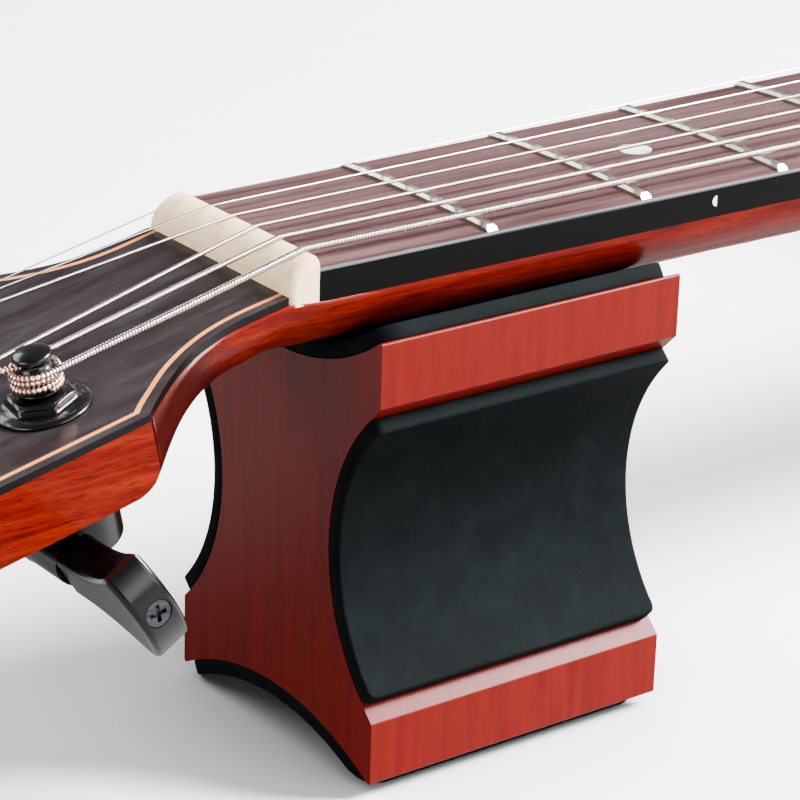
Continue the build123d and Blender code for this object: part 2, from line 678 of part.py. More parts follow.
def body_outline(inset=0.0):
    """Plan of the body, drawn in square to itself: upper bout, waist, lower bout."""
    from_heel = (UPPER_CENTRE - HEEL_CENTRE).normalized()
    to_waist = (WAIST_CENTRE - UPPER_CENTRE).normalized()
    to_lower = (LOWER_CENTRE - WAIST_CENTRE).normalized()
    from_tail = (LOWER_CENTRE - TAIL_CENTRE).normalized()
    bout = UPPER_BOUT_RADIUS - inset
    hollow = WAIST_BEND_RADIUS + inset
    belly = LOWER_BOUT_RADIUS - inset
    joints = [
        HEEL_CENTRE + from_heel * (HEEL_RADIUS - inset),
        UPPER_CENTRE + to_waist * bout,
        WAIST_CENTRE + to_lower * hollow,
        TAIL_CENTRE + from_tail * (TAIL_RADIUS - inset),
    ]
    middles = [
        UPPER_CENTRE + (from_heel + to_waist).normalized() * bout,
        WAIST_CENTRE + (to_lower - to_waist).normalized() * hollow,
        LOWER_CENTRE + (from_tail - to_lower).normalized() * belly,
    ]
    for side in (-1, 1):
        for start, middle, end in zip(joints, middles, joints[1:]):
            ThreePointArc((start.X, side * start.Y), (middle.X, side * middle.Y), (end.X, side * end.Y))
    for end, middle in ((joints[0], HEEL_END + inset), (joints[-1], TAIL_END - inset)):
        ThreePointArc((end.X, -end.Y), (middle, 0), (end.X, end.Y))


def body_prism(inset, bottom, top):
    """The body's plan, drawn in by the inset, between two heights."""
    with BuildPart() as prism:
        with BuildSketch(Plane.XY.offset(bottom)):
            with BuildLine():
                body_outline(inset)
            make_face()
        extrude(amount=top - bottom)
    return prism.part


def soundhole_tool(radius, bottom, top):
    with BuildPart() as tool:
        with BuildSketch(Plane.XY.offset(bottom)):
            with Locations((SOUNDHOLE_X, 0)):
                Circle(radius)
        extrude(amount=top - bottom)
    return tool.part


inner_prism = body_prism(SIDE_PLATE, 0.0, DECK)
lined_prism = body_prism(SIDE_PLATE + LINING_WIDTH, 0.0, DECK)

with BuildPart() as bindings:
    add(body_prism(0.0, DECK - BINDING_HEIGHT, DECK))
    add(body_prism(0.0, 0.0, BINDING_HEIGHT))
    add(inner_prism, mode=Mode.SUBTRACT)
write(bindings, "bindings")

with BuildPart() as rim:
    add(body_prism(0.0, BINDING_HEIGHT, DECK - BINDING_HEIGHT))
    add(inner_prism, mode=Mode.SUBTRACT)
    with BuildSketch(Plane.YZ.offset(NUT_X + TAIL - 10)):
        with Locations((0, END_PIN_HEIGHT)):
            Circle(END_PIN_RADIUS)
    extrude(amount=20, mode=Mode.SUBTRACT)
write(rim, "rim")

with BuildPart() as back_plate:
    add(body_prism(SIDE_PLATE, 0.0, BACK_PLATE))
write(back_plate, "back_plate")

with BuildPart() as rosette:
    with BuildSketch(Plane.XY.offset(DECK - ROSETTE_DEPTH)):
        with Locations((SOUNDHOLE_X, 0)):
            Circle(SOUNDHOLE_RADIUS + 13.0)
            Circle(SOUNDHOLE_RADIUS + 5.0, mode=Mode.SUBTRACT)
        with Locations((SOUNDHOLE_X - 60, 0)):
            Rectangle(60, 2 * board_half_width(BOARD_END), mode=Mode.SUBTRACT)
    extrude(amount=ROSETTE_DEPTH)
write(rosette, "rosette")

with BuildPart() as soundboard:
    add(body_prism(SIDE_PLATE, DECK - TOP_PLATE, DECK))
    add(soundhole_tool(SOUNDHOLE_RADIUS, DECK - 10, DECK + 1), mode=Mode.SUBTRACT)
    add(rosette.part, mode=Mode.SUBTRACT)
    with BuildSketch(Plane.XY.offset(DECK)):
        with Locations(*PIN_PLACES):
            Circle(PIN_RADIUS)
    extrude(amount=-10, mode=Mode.SUBTRACT)
write(soundboard, "soundboard")

# bracing under the soundboard and on the back
BRACE_TOP = DECK - TOP_PLATE


def brace(middle, length, width, height, turn):
    """A bar glued under the soundboard, its ends tapered."""
    half = length / 2
    low = BRACE_TOP - height
    plane = Plane(origin=(middle[0], middle[1], 0), x_dir=(cos(radians(turn)), sin(radians(turn)), 0),
                  z_dir=(sin(radians(turn)), -cos(radians(turn)), 0))
    with BuildPart() as bar:
        with BuildSketch(plane):
            with BuildLine():
                Polyline(
                    (-half, BRACE_TOP), (-half, BRACE_TOP - 2.5), (-half + 38, low), (half - 38, low),
                    (half, BRACE_TOP - 2.5), (half, BRACE_TOP), close=True,
                )
            make_face()
        extrude(amount=width / 2, both=True)
    return bar.part


with BuildPart() as top_braces:
    for side in (-1, 1):
        add(brace((X_BRACE_X, 0), 430.0, 7.5, 14.0, side * 40.0))
    add(brace((SOUNDHOLE_X - 66, 0), 236.0, 10.0, 13.0, 90.0))
    for shift in (0, 62):
        add(brace((SADDLE_X + 42 + shift, -12 + shift / 4), 150.0, 6.0, 9.0, 62.0))
    add(lined_prism, mode=Mode.INTERSECT)
    with BuildSketch(Plane.XY.offset(BRACE_TOP)):
        with Locations((SADDLE_X + 8, 0)):
            Rectangle(42, 180)
    extrude(amount=-2.5)
    with BuildSketch(Plane.XY.offset(DECK)):
        with Locations(*PIN_PLACES):
            Circle(PIN_RADIUS)
    extrude(amount=-10, mode=Mode.SUBTRACT)

with BuildPart() as back_braces:
    for middle in BACK_BRACE_PLACES:
        with BuildSketch(Plane.XY.offset(BACK_PLATE)):
            with Locations((middle, 0)):
                Rectangle(BACK_BRACE_WIDTH, 400.0)
        extrude(amount=BACK_BRACE_HEIGHT)
    add(lined_prism, mode=Mode.INTERSECT)
with BuildPart() as braces:
    add(top_braces.part)
    add(back_braces.part)
write(braces, "braces")

with BuildPart() as linings:
    add(body_prism(SIDE_PLATE, BRACE_TOP - LINING_HEIGHT, BRACE_TOP))
    add(body_prism(SIDE_PLATE, BACK_PLATE, BACK_PLATE + LINING_HEIGHT))
    add(lined_prism, mode=Mode.SUBTRACT)
    with BuildSketch(Plane.XY):
        with Locations((NUT_X + BODY_START, 0)):
            Rectangle(2 * NECK_BLOCK_LENGTH, NECK_BLOCK_WIDTH)
        with Locations((NUT_X + TAIL, 0)):
            Rectangle(2 * TAIL_BLOCK_LENGTH, TAIL_BLOCK_WIDTH)
    extrude(amount=DECK, mode=Mode.SUBTRACT)
write(linings, "linings")

with BuildPart() as end_blocks:
    with BuildSketch(Plane.XY.offset(BACK_PLATE)):
        with Locations((NUT_X + BODY_START, 0)):
            Rectangle(2 * NECK_BLOCK_LENGTH, NECK_BLOCK_WIDTH)
        with Locations((NUT_X + TAIL, 0)):
            Rectangle(2 * TAIL_BLOCK_LENGTH, TAIL_BLOCK_WIDTH)
    extrude(amount=BRACE_TOP - BACK_PLATE)
    add(inner_prism, mode=Mode.INTERSECT)
    with BuildSketch(Plane.YZ.offset(NUT_X + TAIL - 60)):
        with Locations((0, END_PIN_HEIGHT)):
            Circle(END_PIN_RADIUS)
    extrude(amount=70, mode=Mode.SUBTRACT)
write(end_blocks, "end_blocks")

with BuildPart() as end_pin:
    with BuildSketch(Plane.XZ):
        with BuildLine():
            rim_x = NUT_X + TAIL
            Polyline(
                (rim_x - 18, END_PIN_HEIGHT), (rim_x - 18, END_PIN_HEIGHT + END_PIN_RADIUS - 0.8),
                (rim_x - 17, END_PIN_HEIGHT + END_PIN_RADIUS), (rim_x, END_PIN_HEIGHT + END_PIN_RADIUS),
                (rim_x, END_PIN_HEIGHT + 6.5), (rim_x + 1.5, END_PIN_HEIGHT + 6.5),
                (rim_x + 2.5, END_PIN_HEIGHT + 5.0),
            )
            Spline(
                (rim_x + 2.5, END_PIN_HEIGHT + 5.0), (rim_x + 5, END_PIN_HEIGHT + 4.4),
                (rim_x + 8, END_PIN_HEIGHT + 6.2),
            )
            Spline(
                (rim_x + 8, END_PIN_HEIGHT + 6.2), (rim_x + END_PIN_REACH, END_PIN_HEIGHT),
                tangents=((1, 0.3), (0, -1)),
            )
            Line((rim_x + END_PIN_REACH, END_PIN_HEIGHT), (rim_x - 18, END_PIN_HEIGHT))
        make_face()
    revolve(axis=Axis((0, 0, END_PIN_HEIGHT), (1, 0, 0)))
write(end_pin, "end_pin")

with BuildPart() as heel_cap:
    with BuildSketch(Plane.XY.offset(DECK - HEEL[-1][0])):
        with BuildLine():
            heel_outline(HEEL[-1][1], HEEL[-1][2])
        make_face()
    extrude(amount=-2.0)
write(heel_cap, "heel_cap")

with BuildPart() as pickguard:
    with BuildSketch(Plane.XY.offset(DECK)):
        with BuildLine():
            Spline(
                (SOUNDHOLE_X - 34, 52), (SOUNDHOLE_X + 10, 100),
                (SOUNDHOLE_X + 92, 104), (SOUNDHOLE_X + 118, 66),
                (SOUNDHOLE_X + 64, 24), periodic=True,
            )
        make_face()
        with Locations((SOUNDHOLE_X, 0)):
            Circle(SOUNDHOLE_RADIUS + 13.6, mode=Mode.SUBTRACT)
        with Locations((SOUNDHOLE_X - 60, 0)):
            Rectangle(60, 2 * board_half_width(BOARD_END) + 6, mode=Mode.SUBTRACT)
    extrude(amount=1.2)
write(pickguard, "pickguard")

# bridge, saddle and pins
with BuildPart() as bridge:
    with BuildSketch(Plane.XY.offset(DECK)):
        with Locations((SADDLE_X + 8, 0)):
            RectangleRounded(29, 154, 6)
    extrude(amount=BRIDGE_HEIGHT)
    with BuildSketch(Plane.YZ.offset(SADDLE_X - 20)):
        with BuildLine():
            for side in (-1, 1):
                Polyline((side * 78, DECK + 4.0), (side * 62, DECK + 4.0))
                Spline(
                    (side * 62, DECK + 4.0), (side * 46, DECK + BRIDGE_HEIGHT),
                    tangents=((-side, 0), (-side, 0.2))
                )
                Line((side * 78, DECK + 4.0), (side * 78, DECK - 1))
            Line((-46, DECK + BRIDGE_HEIGHT), (46, DECK + BRIDGE_HEIGHT))
            Line((-78, DECK - 1), (78, DECK - 1))
        make_face()
    extrude(amount=60, mode=Mode.INTERSECT)
    with BuildSketch(Plane.XY.offset(DECK + BRIDGE_HEIGHT)):
        with Locations((SADDLE_X, 0)):
            Rectangle(SADDLE_THICKNESS, SADDLE_LENGTH)
    extrude(amount=-5.0, mode=Mode.SUBTRACT)
    with BuildSketch(Plane.XY.offset(DECK + BRIDGE_HEIGHT)):
        with Locations(*PIN_PLACES):
            Circle(PIN_RADIUS)
    extrude(amount=-12, mode=Mode.SUBTRACT)
write(bridge, "bridge")

SADDLE_CREST = [saddle_string_z(number) - STRING_RADII[number] - 0.03 for number in range(6)]

with BuildPart() as saddle:
    with BuildSketch(Plane.YZ.offset(SADDLE_X - SADDLE_THICKNESS / 2)):
        with BuildLine():
            half = SADDLE_LENGTH / 2
            floor = DECK + BRIDGE_HEIGHT - 5.0
            Polyline(
                (-half, SADDLE_CREST[0] - 0.7), (-half, floor), (half, floor), (half, SADDLE_CREST[5] - 0.7)
            )
            crest = [(string_across(number, 1), SADDLE_CREST[number]) for number in range(6)]
            Polyline((-half, SADDLE_CREST[0] - 0.7), *crest, (half, SADDLE_CREST[5] - 0.7))
        make_face()
    extrude(amount=SADDLE_THICKNESS)
write(saddle, "saddle")

with BuildPart() as bridge_pins:
    heads = [(x, y, DECK + BRIDGE_HEIGHT) for x, y in PIN_PLACES]
    with Locations(*heads):
        Cylinder(PIN_RADIUS, 22.0, align=(Align.CENTER, Align.CENTER, Align.MAX))
    with Locations(*heads):
        Cylinder(PIN_RADIUS + PIN_FLANGE, 3.2, align=(Align.CENTER, Align.CENTER, Align.MIN))
    fillet(bridge_pins.edges().group_by(Axis.Z)[-1], radius=1.6)
write(bridge_pins, "bridge_pins")


# ---------------------------------------------------------------- tuners and strings
housings = []
bushings = []
screws = []

for number, (side, along, across) in enumerate(tuners):
    name = STRING_NAMES[number]
    wire = STRING_RADII[number]
    turns = coil_turns(wire)
    waist = waist_radius(wire)
    frame = tuner_frame(along, side * across)
    worm_plane = worm_frame(frame, side)

    with BuildPart(frame) as post:
        with BuildSketch(half_section(frame)):
            with BuildLine():
                cap_edge = POST_TOP - 0.9
                Polyline(
                    (0, CAVITY_FLOOR + 0.2), (POST_RADIUS - 0.6, CAVITY_FLOOR + 0.2),
                    (POST_RADIUS - 0.6, CAVITY_TOP - 0.3), (POST_RADIUS, CAVITY_TOP - 0.3),
                    (POST_RADIUS, BUSHING_TOP + 0.4), (waist + 0.4, BUSHING_TOP + 0.7),
                    (waist + 0.4, COIL_BOTTOM - 0.2),
                    (waist, COIL_BOTTOM - 0.2), (waist, POST_TOP - 3.2),
                )
                Spline((waist, POST_TOP - 3.2), (CAP_RADIUS, cap_edge), tangents=((0, 1), (0.2, 1)))
                Spline((CAP_RADIUS, cap_edge), (0, POST_TOP + 0.5), tangents=((0, 1), (-1, 0)))
                Line((0, POST_TOP + 0.5), (0, CAVITY_FLOOR + 0.2))
            make_face()
        revolve(axis=Axis(frame.origin, frame.z_dir))
        with BuildSketch(frame.offset(-WORM_DROP - 1.6)):
            Circle(WHEEL_RADIUS)
            with PolarLocations(WHEEL_RADIUS, WHEEL_TEETH):
                Circle(0.32, mode=Mode.SUBTRACT)
        extrude(amount=3.2)
    write(post, f"{name}_post")

    with BuildPart() as coil:
        with BuildSketch(half_section(frame)):
            for turn in range(turns):
                with Locations((waist + wire, COIL_BOTTOM + wire + turn * 2 * wire)):
                    Circle(wire)
            with Locations((waist + wire / 2, COIL_BOTTOM + turns * wire)):
                Rectangle(wire, (2 * turns - 1) * wire)
        revolve(axis=Axis(frame.origin, frame.z_dir))
    write(coil, f"{name}_coil")

    with BuildPart(worm_plane) as worm:
        with Locations((0, 0, -5.2)):
            Cylinder(WORM_RADIUS - 0.5, 10.0, align=UPWARD)
        for ridge in range(5):
            with Locations((0, 0, -4.2 + 1.7 * ridge)):
                Cone(WORM_CREST, WORM_RADIUS - 0.5, 0.6, align=UPWARD)
            with Locations((0, 0, -4.8 + 1.7 * ridge)):
                Cone(WORM_RADIUS - 0.5, WORM_CREST, 0.6, align=UPWARD)
        with Locations((0, 0, 4.8)):
            Cylinder(WORM_RADIUS, SHAFT_END - 4.8, align=UPWARD)
        with Locations((0, 0, SHAFT_END)):
            Cylinder(SCREW_SHANK, SCREW_SEAT - SHAFT_END, align=UPWARD)
        with Locations((0, 0, SCREW_SEAT)):
            Cylinder(SCREW_HEAD, 1.1, align=UPWARD)
        for turn in (0, 90):
            with Locations(Location((0, 0, SCREW_SEAT + 0.35), (0, 0, turn))):
                Box(0.75, 3.0, 2.0, align=UPWARD, mode=Mode.SUBTRACT)
    write(worm, f"{name}_worm")

    with BuildPart() as button:
        plane = button_frame(worm_plane, BUTTON_TURNS[number])
        with BuildSketch(plane) as fan:
            with BuildLine():
                root = BUTTON_REACH - BUTTON_LENGTH
                flare = BUTTON_REACH - BUTTON_ARCH
                Line((root, -BUTTON_ROOT), (root, BUTTON_ROOT))
                for way in (-1, 1):
                    Spline(
                        (root, way * BUTTON_ROOT), (root + 5.0, way * (BUTTON_ROOT + 0.1)),
                        (flare - 4.5, way * (BUTTON_HALF_WIDTH - 2.0)), (flare, way * BUTTON_HALF_WIDTH),
                        tangents=((1, 0), (1, way * 0.25)),
                    )
                ThreePointArc((flare, -BUTTON_HALF_WIDTH), (BUTTON_REACH, 0), (flare, BUTTON_HALF_WIDTH))
            make_face()
            outward = Axis(worm_plane.origin, worm_plane.z_dir)
            fillet(fan.vertices().group_by(outward)[-1], radius=1.5)
        extrude(amount=BUTTON_THICKNESS / 2, both=True)
        rims = [
            e for e in button.edges()
            if abs(abs(plane.to_local_coords(e.center()).Z) - BUTTON_THICKNESS / 2) < 0.01
            and plane.to_local_coords(e.center()).X > BUTTON_REACH - BUTTON_LENGTH + 0.1
        ]
        fillet(rims, radius=1.0)
        for reach, radius in ((0, WORM_RADIUS), (SHAFT_END, SCREW_SHANK), (SCREW_SEAT, SCREW_HEAD + 0.15)):
            with BuildSketch(worm_plane.offset(reach)):
                Circle(radius)
            depth = {0: SHAFT_END, SHAFT_END: 6.0, SCREW_SEAT: 6.0}[reach]
            extrude(amount=depth, mode=Mode.SUBTRACT)
    write(button, f"{name}_button")

    with BuildPart() as housing:
        with BuildSketch(frame.offset(HEAD_BACK)):
            Circle(HOUSING_RADIUS)
        extrude(amount=HOUSING_FLOOR - HEAD_BACK)
        upward = Axis(frame.origin, frame.z_dir)
        fillet(housing.edges().filter_by(GeomType.CIRCLE).group_by(upward)[0], radius=1.0)
        with BuildSketch(worm_plane.offset(-7.0)):
            Circle(BOSS_RADIUS)
        extrude(amount=7.0 + BOSS_REACH)
        with BuildSketch(frame.offset(HEAD_BACK)):
            with Locations((-EAR_REACH / 2, 0)):
                Rectangle(EAR_REACH, 6.4)
            with Locations((-EAR_REACH, 0)):
                Circle(3.2)
                Circle(SCREW_SHANK, mode=Mode.SUBTRACT)
        extrude(amount=-2.0)
        with BuildSketch(frame.offset(CAVITY_TOP)):
            Circle(WHEEL_RADIUS + 0.5)
        extrude(amount=CAVITY_FLOOR - CAVITY_TOP, mode=Mode.SUBTRACT)
        with BuildSketch(worm_plane.offset(-5.8)):
            Circle(WORM_CREST + 0.3)
        extrude(amount=10.6, mode=Mode.SUBTRACT)
        with BuildSketch(worm_plane):
            Circle(WORM_RADIUS + RUNNING)
        extrude(amount=BOSS_REACH + 2, mode=Mode.SUBTRACT)
        with BuildSketch(frame.offset(HEAD_BACK + 1)):
            Circle(POST_RADIUS + RUNNING)
        extrude(amount=CAVITY_TOP - HEAD_BACK - 2, mode=Mode.SUBTRACT)
    housings.append(housing.part)

    with BuildPart() as bushing:
        with BuildSketch(frame.offset(HEAD_BACK)):
            Circle(BUSHING_RADIUS)
        extrude(amount=-HEAD_BACK + WASHER)
        with BuildSketch(frame.offset(WASHER)):
            RegularPolygon(HEX_FLATS / 2, 6, major_radius=False, rotation=HEX_TURN)
        extrude(amount=BUSHING_TOP - WASHER)
        with BuildSketch(frame.offset(HEAD_BACK)):
            Circle(POST_RADIUS + RUNNING)
        extrude(amount=BUSHING_TOP - HEAD_BACK, mode=Mode.SUBTRACT)
    with BuildPart() as washer:
        with BuildSketch(frame):
            Circle(WASHER_RADIUS)
            Circle(BUSHING_RADIUS, mode=Mode.SUBTRACT)
        extrude(amount=WASHER)
        fillet(washer.edges().filter_by(GeomType.CIRCLE).sort_by(SortBy.LENGTH)[-1], radius=0.4)
    bushings += [bushing.part, washer.part]

    with BuildPart(frame) as screw:
        with Locations((-EAR_REACH, 0, HEAD_BACK - 2.0)):
            Cylinder(2.2, 1.2, align=(Align.CENTER, Align.CENTER, Align.MAX))
            Cylinder(SCREW_SHANK, SCREW_DEPTH + 2.0, align=UPWARD)
    screws.append(screw.part)

with BuildPart() as tuner_housings:
    add(housings)
write(tuner_housings, "tuner_housings")

with BuildPart() as tuner_bushings:
    add(bushings)
write(tuner_bushings, "tuner_bushings")

with BuildPart() as tuner_screws:
    add(screws)
write(tuner_screws, "tuner_screws")

BRIDGE_TOP = DECK + BRIDGE_HEIGHT

for number, wire in enumerate(STRING_RADII):
    start = STRING_STARTS[number]
    crossing = NUT_CROSSINGS[number]
    over_saddle = Vector(
        SADDLE_X + SADDLE_THICKNESS / 2 + 0.2, string_across(number, 1), saddle_string_z(number)
    )
    pin_x, pin_y = PIN_PLACES[number]
    at_pin = Vector(pin_x - PIN_RADIUS - PIN_FLANGE - 0.15, pin_y, BRIDGE_TOP + wire + 0.1)
    with BuildPart() as string:
        with BuildLine() as route:
            FilletPolyline(start, crossing, over_saddle, at_pin, radius=4.0)
        with BuildSketch(Plane(origin=start, z_dir=crossing - start)):
            Circle(wire)
        sweep(path=route.line)
    write(string, f"{STRING_NAMES[number]}_string")
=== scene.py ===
import json
import math

import bmesh
import bpy
from mathutils import Matrix, Vector

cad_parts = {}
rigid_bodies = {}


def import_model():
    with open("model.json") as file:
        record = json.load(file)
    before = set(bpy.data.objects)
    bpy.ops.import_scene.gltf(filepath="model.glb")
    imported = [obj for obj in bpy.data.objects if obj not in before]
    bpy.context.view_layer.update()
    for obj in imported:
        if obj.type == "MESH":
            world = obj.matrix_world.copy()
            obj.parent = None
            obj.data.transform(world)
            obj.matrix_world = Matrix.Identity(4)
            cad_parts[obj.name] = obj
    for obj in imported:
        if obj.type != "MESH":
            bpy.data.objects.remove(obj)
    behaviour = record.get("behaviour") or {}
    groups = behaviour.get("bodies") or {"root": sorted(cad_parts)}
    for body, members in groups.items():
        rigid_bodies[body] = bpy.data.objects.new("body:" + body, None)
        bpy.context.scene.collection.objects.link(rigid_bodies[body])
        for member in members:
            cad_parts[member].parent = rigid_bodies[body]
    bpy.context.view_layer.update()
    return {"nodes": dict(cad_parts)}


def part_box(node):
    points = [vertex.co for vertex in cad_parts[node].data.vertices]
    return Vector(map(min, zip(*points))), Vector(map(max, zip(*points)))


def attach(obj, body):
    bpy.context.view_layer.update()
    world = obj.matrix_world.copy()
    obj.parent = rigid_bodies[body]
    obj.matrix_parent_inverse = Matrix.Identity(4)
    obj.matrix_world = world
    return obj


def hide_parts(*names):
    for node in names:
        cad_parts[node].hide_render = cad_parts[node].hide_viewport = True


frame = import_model()
NODES = frame["nodes"]

# ------------------------------------------------------------------ sizes, in metres
MM = 0.001
NUT_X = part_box("nut")[1].x
NUT_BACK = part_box("nut")[0].x
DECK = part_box("soundboard")[1].z
HEAD_ANGLE = math.radians(12.0)
OVERLAY_TOP = DECK + 1.956 * MM
TIPWARD = Vector((-math.cos(HEAD_ANGLE), 0, -math.sin(HEAD_ANGLE)))
BASSWARD = Vector((0, -1, 0))
FACEWARD = Vector((-math.sin(HEAD_ANGLE), 0, math.cos(HEAD_ANGLE)))
HEAD_ORIGIN = Vector((NUT_BACK, 0, OVERLAY_TOP))
STRINGS = ("low_e", "a", "d", "g", "b", "high_e")
RADII = [r * MM for r in (0.675, 0.535, 0.41, 0.31, 0.205, 0.155)]
WOUND_TO = (1, -1, -1, 1, 1, 1)    # the side of its post on which each string leaves
WOUND_STRINGS = 4
POSTS = [(47.2, 19.5), (85.2, 20.8), (123.2, 22.1), (123.2, -22.1), (85.2, -20.8), (47.2, -19.5)]
COIL_BOTTOM = 3.6 * MM
FRETBOARD_TOP = 98.5 * MM
FRETBOARD_RADIUS = 400 * MM
CROWN_AXIS = FRETBOARD_TOP + 0.578 * MM - FRETBOARD_RADIUS
SADDLE_X = (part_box("saddle")[0].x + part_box("saddle")[1].x) / 2
ROSETTE_RADIUS = 63.0 * MM


def head_point(along, across, height):
    return HEAD_ORIGIN + TIPWARD * along + BASSWARD * across + FACEWARD * height


# ------------------------------------------------------------------ camera
scene = bpy.context.scene
camera_data = bpy.data.cameras.new("camera")
camera = bpy.data.objects.new("camera", camera_data)
scene.collection.objects.link(camera)
right = Vector((0.80084, -0.59817, 0.0291))
forward = Vector((0.5643, 0.7374, -0.3711)).normalized()
right = (right - forward * right.dot(forward)).normalized()
up = right.cross(forward)
camera.matrix_world = Matrix((
    (right.x, up.x, -forward.x, -0.6470),
    (right.y, up.y, -forward.y, -0.43612),
    (right.z, up.z, -forward.z, 0.27997),
    (0, 0, 0, 1),
))
camera_data.sensor_width = 36
camera_data.lens = 147.6
camera_data.clip_start = 0.05
camera_data.clip_end = 30
scene.camera = camera

# ------------------------------------------------------------------ light
world = bpy.data.worlds.new("studio")
scene.world = world
world.use_nodes = True
world.node_tree.nodes["Background"].inputs[0].default_value = (0.93, 0.95, 1.0, 1)
world.node_tree.nodes["Background"].inputs[1].default_value = 0.34


def area_light(name, place, target, size, power):
    data = bpy.data.lights.new(name, "AREA")
    data.shape = "RECTANGLE"
    data.size, data.size_y = size
    data.energy = power
    light = bpy.data.objects.new(name, data)
    scene.collection.objects.link(light)
    light.location = place
    light.rotation_euler = (Vector(target) - Vector(place)).to_track_quat("-Z", "Y").to_euler()


REST = Vector((-0.306, 0, 0.05))
area_light("key", (0.72, -0.50, 0.95), REST, (0.6, 0.6), 235)
area_light("front", (0.15, -1.45, 0.50), REST, (1.0, 0.7), 26)
area_light("end_fill", (-1.7, -0.1, 0.45), REST, (0.8, 0.8), 22)
area_light("back_strip", (-0.9, 1.1, 0.9), REST, (1.4, 0.5), 25)

# ------------------------------------------------------------------ shader helpers
DIM = 0.32    # every colour is scaled so, to suit the bright studio light
MIRRORED = 1.0    # metals keep their colour unscaled


def srgb(r, g, b, scale=DIM):
    def channel(v):
        v = v / 255
        return scale * (v / 12.92 if v <= 0.04045 else ((v + 0.055) / 1.055) ** 2.4)
    return (channel(r), channel(g), channel(b), 1.0)


class Shader:
    """A material with a principled shader and short ways to add nodes."""

    def __init__(self, name, **sockets):
        self.material = bpy.data.materials.new(name)
        self.material.use_nodes = True
        self.tree = self.material.node_tree
        self.bsdf = self.tree.nodes["Principled BSDF"]
        self.bsdf.inputs["Specular IOR Level"].default_value = 0.18
        self.place = self.node("ShaderNodeTexCoord").outputs["Object"]
        for key, value in sockets.items():
            self.bsdf.inputs[key.replace("_", " ")].default_value = value

    def node(self, kind, inputs=None, **settings):
        made = self.tree.nodes.new(kind)
        for key, value in settings.items():
            setattr(made, key, value)
        for key, value in (inputs or {}).items():
            if isinstance(value, bpy.types.NodeSocket):
                self.tree.links.new(value, made.inputs[key])
            else:
                made.inputs[key].default_value = value
        return made

    def scaled(self, x, y, z, source=None):
        made = self.node("ShaderNodeMapping", {"Vector": source or self.place, "Scale": (x, y, z)})
        return made.outputs[0]

    def noise(self, vector, scale=1.0, detail=4.0, roughness=0.55, distortion=0.0):
        made = self.node("ShaderNodeTexNoise", {
            "Vector": vector, "Scale": scale, "Detail": detail,
            "Roughness": roughness, "Distortion": distortion,
        })
        return made.outputs["Fac"]

    def ramp(self, fac, *stops):
        made = self.node("ShaderNodeValToRGB", {"Fac": fac})
        elements = made.color_ramp.elements
        elements[0].position, elements[0].color = stops[0]
        elements[1].position, elements[1].color = stops[-1]
        for position, colour in stops[1:-1]:
            added = elements.new(position)
            added.color = colour
        return made.outputs["Color"]

    def grey_ramp(self, fac, *stops):
        return self.ramp(fac, *[(p, (v, v, v, 1)) for p, v in stops])

    def mix(self, fac, a, b, blend="MIX"):
        made = self.node("ShaderNodeMix", data_type="RGBA", blend_type=blend)
        for key, value in (("Factor", fac), ("A", a), ("B", b)):
            socket = [s for s in made.inputs if s.name == key and s.enabled][0]
            if isinstance(value, bpy.types.NodeSocket):
                self.tree.links.new(value, socket)
            else:
                socket.default_value = value
        return [s for s in made.outputs if s.enabled][0]

    def maths(self, operation, a, b=0.5, clamp=False):
        made = self.node("ShaderNodeMath", {0: a, 1: b}, operation=operation, use_clamp=clamp)
        return made.outputs[0]

    def normal_axis(self, axis):
        geometry = self.node("ShaderNodeTexCoord")
        split = self.node("ShaderNodeSeparateXYZ", {0: geometry.outputs["Normal"]})
        return split.outputs[axis]

    def colour(self, socket):
        self.tree.links.new(socket, self.bsdf.inputs["Base Color"])

    def rough(self, socket):
        self.tree.links.new(socket, self.bsdf.inputs["Roughness"])

    def rough_between(self, fac, low, high):
        self.rough(self.node("ShaderNodeMapRange", {"Value": fac, "To Min": low, "To Max": high}).outputs[0])

    def bump(self, *layers):
        """layers of (height socket, distance in metres), laid one over another"""
        normal = None
        for height, distance in layers:
            inputs = {"Height": height, "Distance": distance, "Strength": 1.0}
            if normal is not None:
                inputs["Normal"] = normal
            normal = self.node("ShaderNodeBump", inputs).outputs[0]
        self.tree.links.new(normal, self.bsdf.inputs["Normal"])


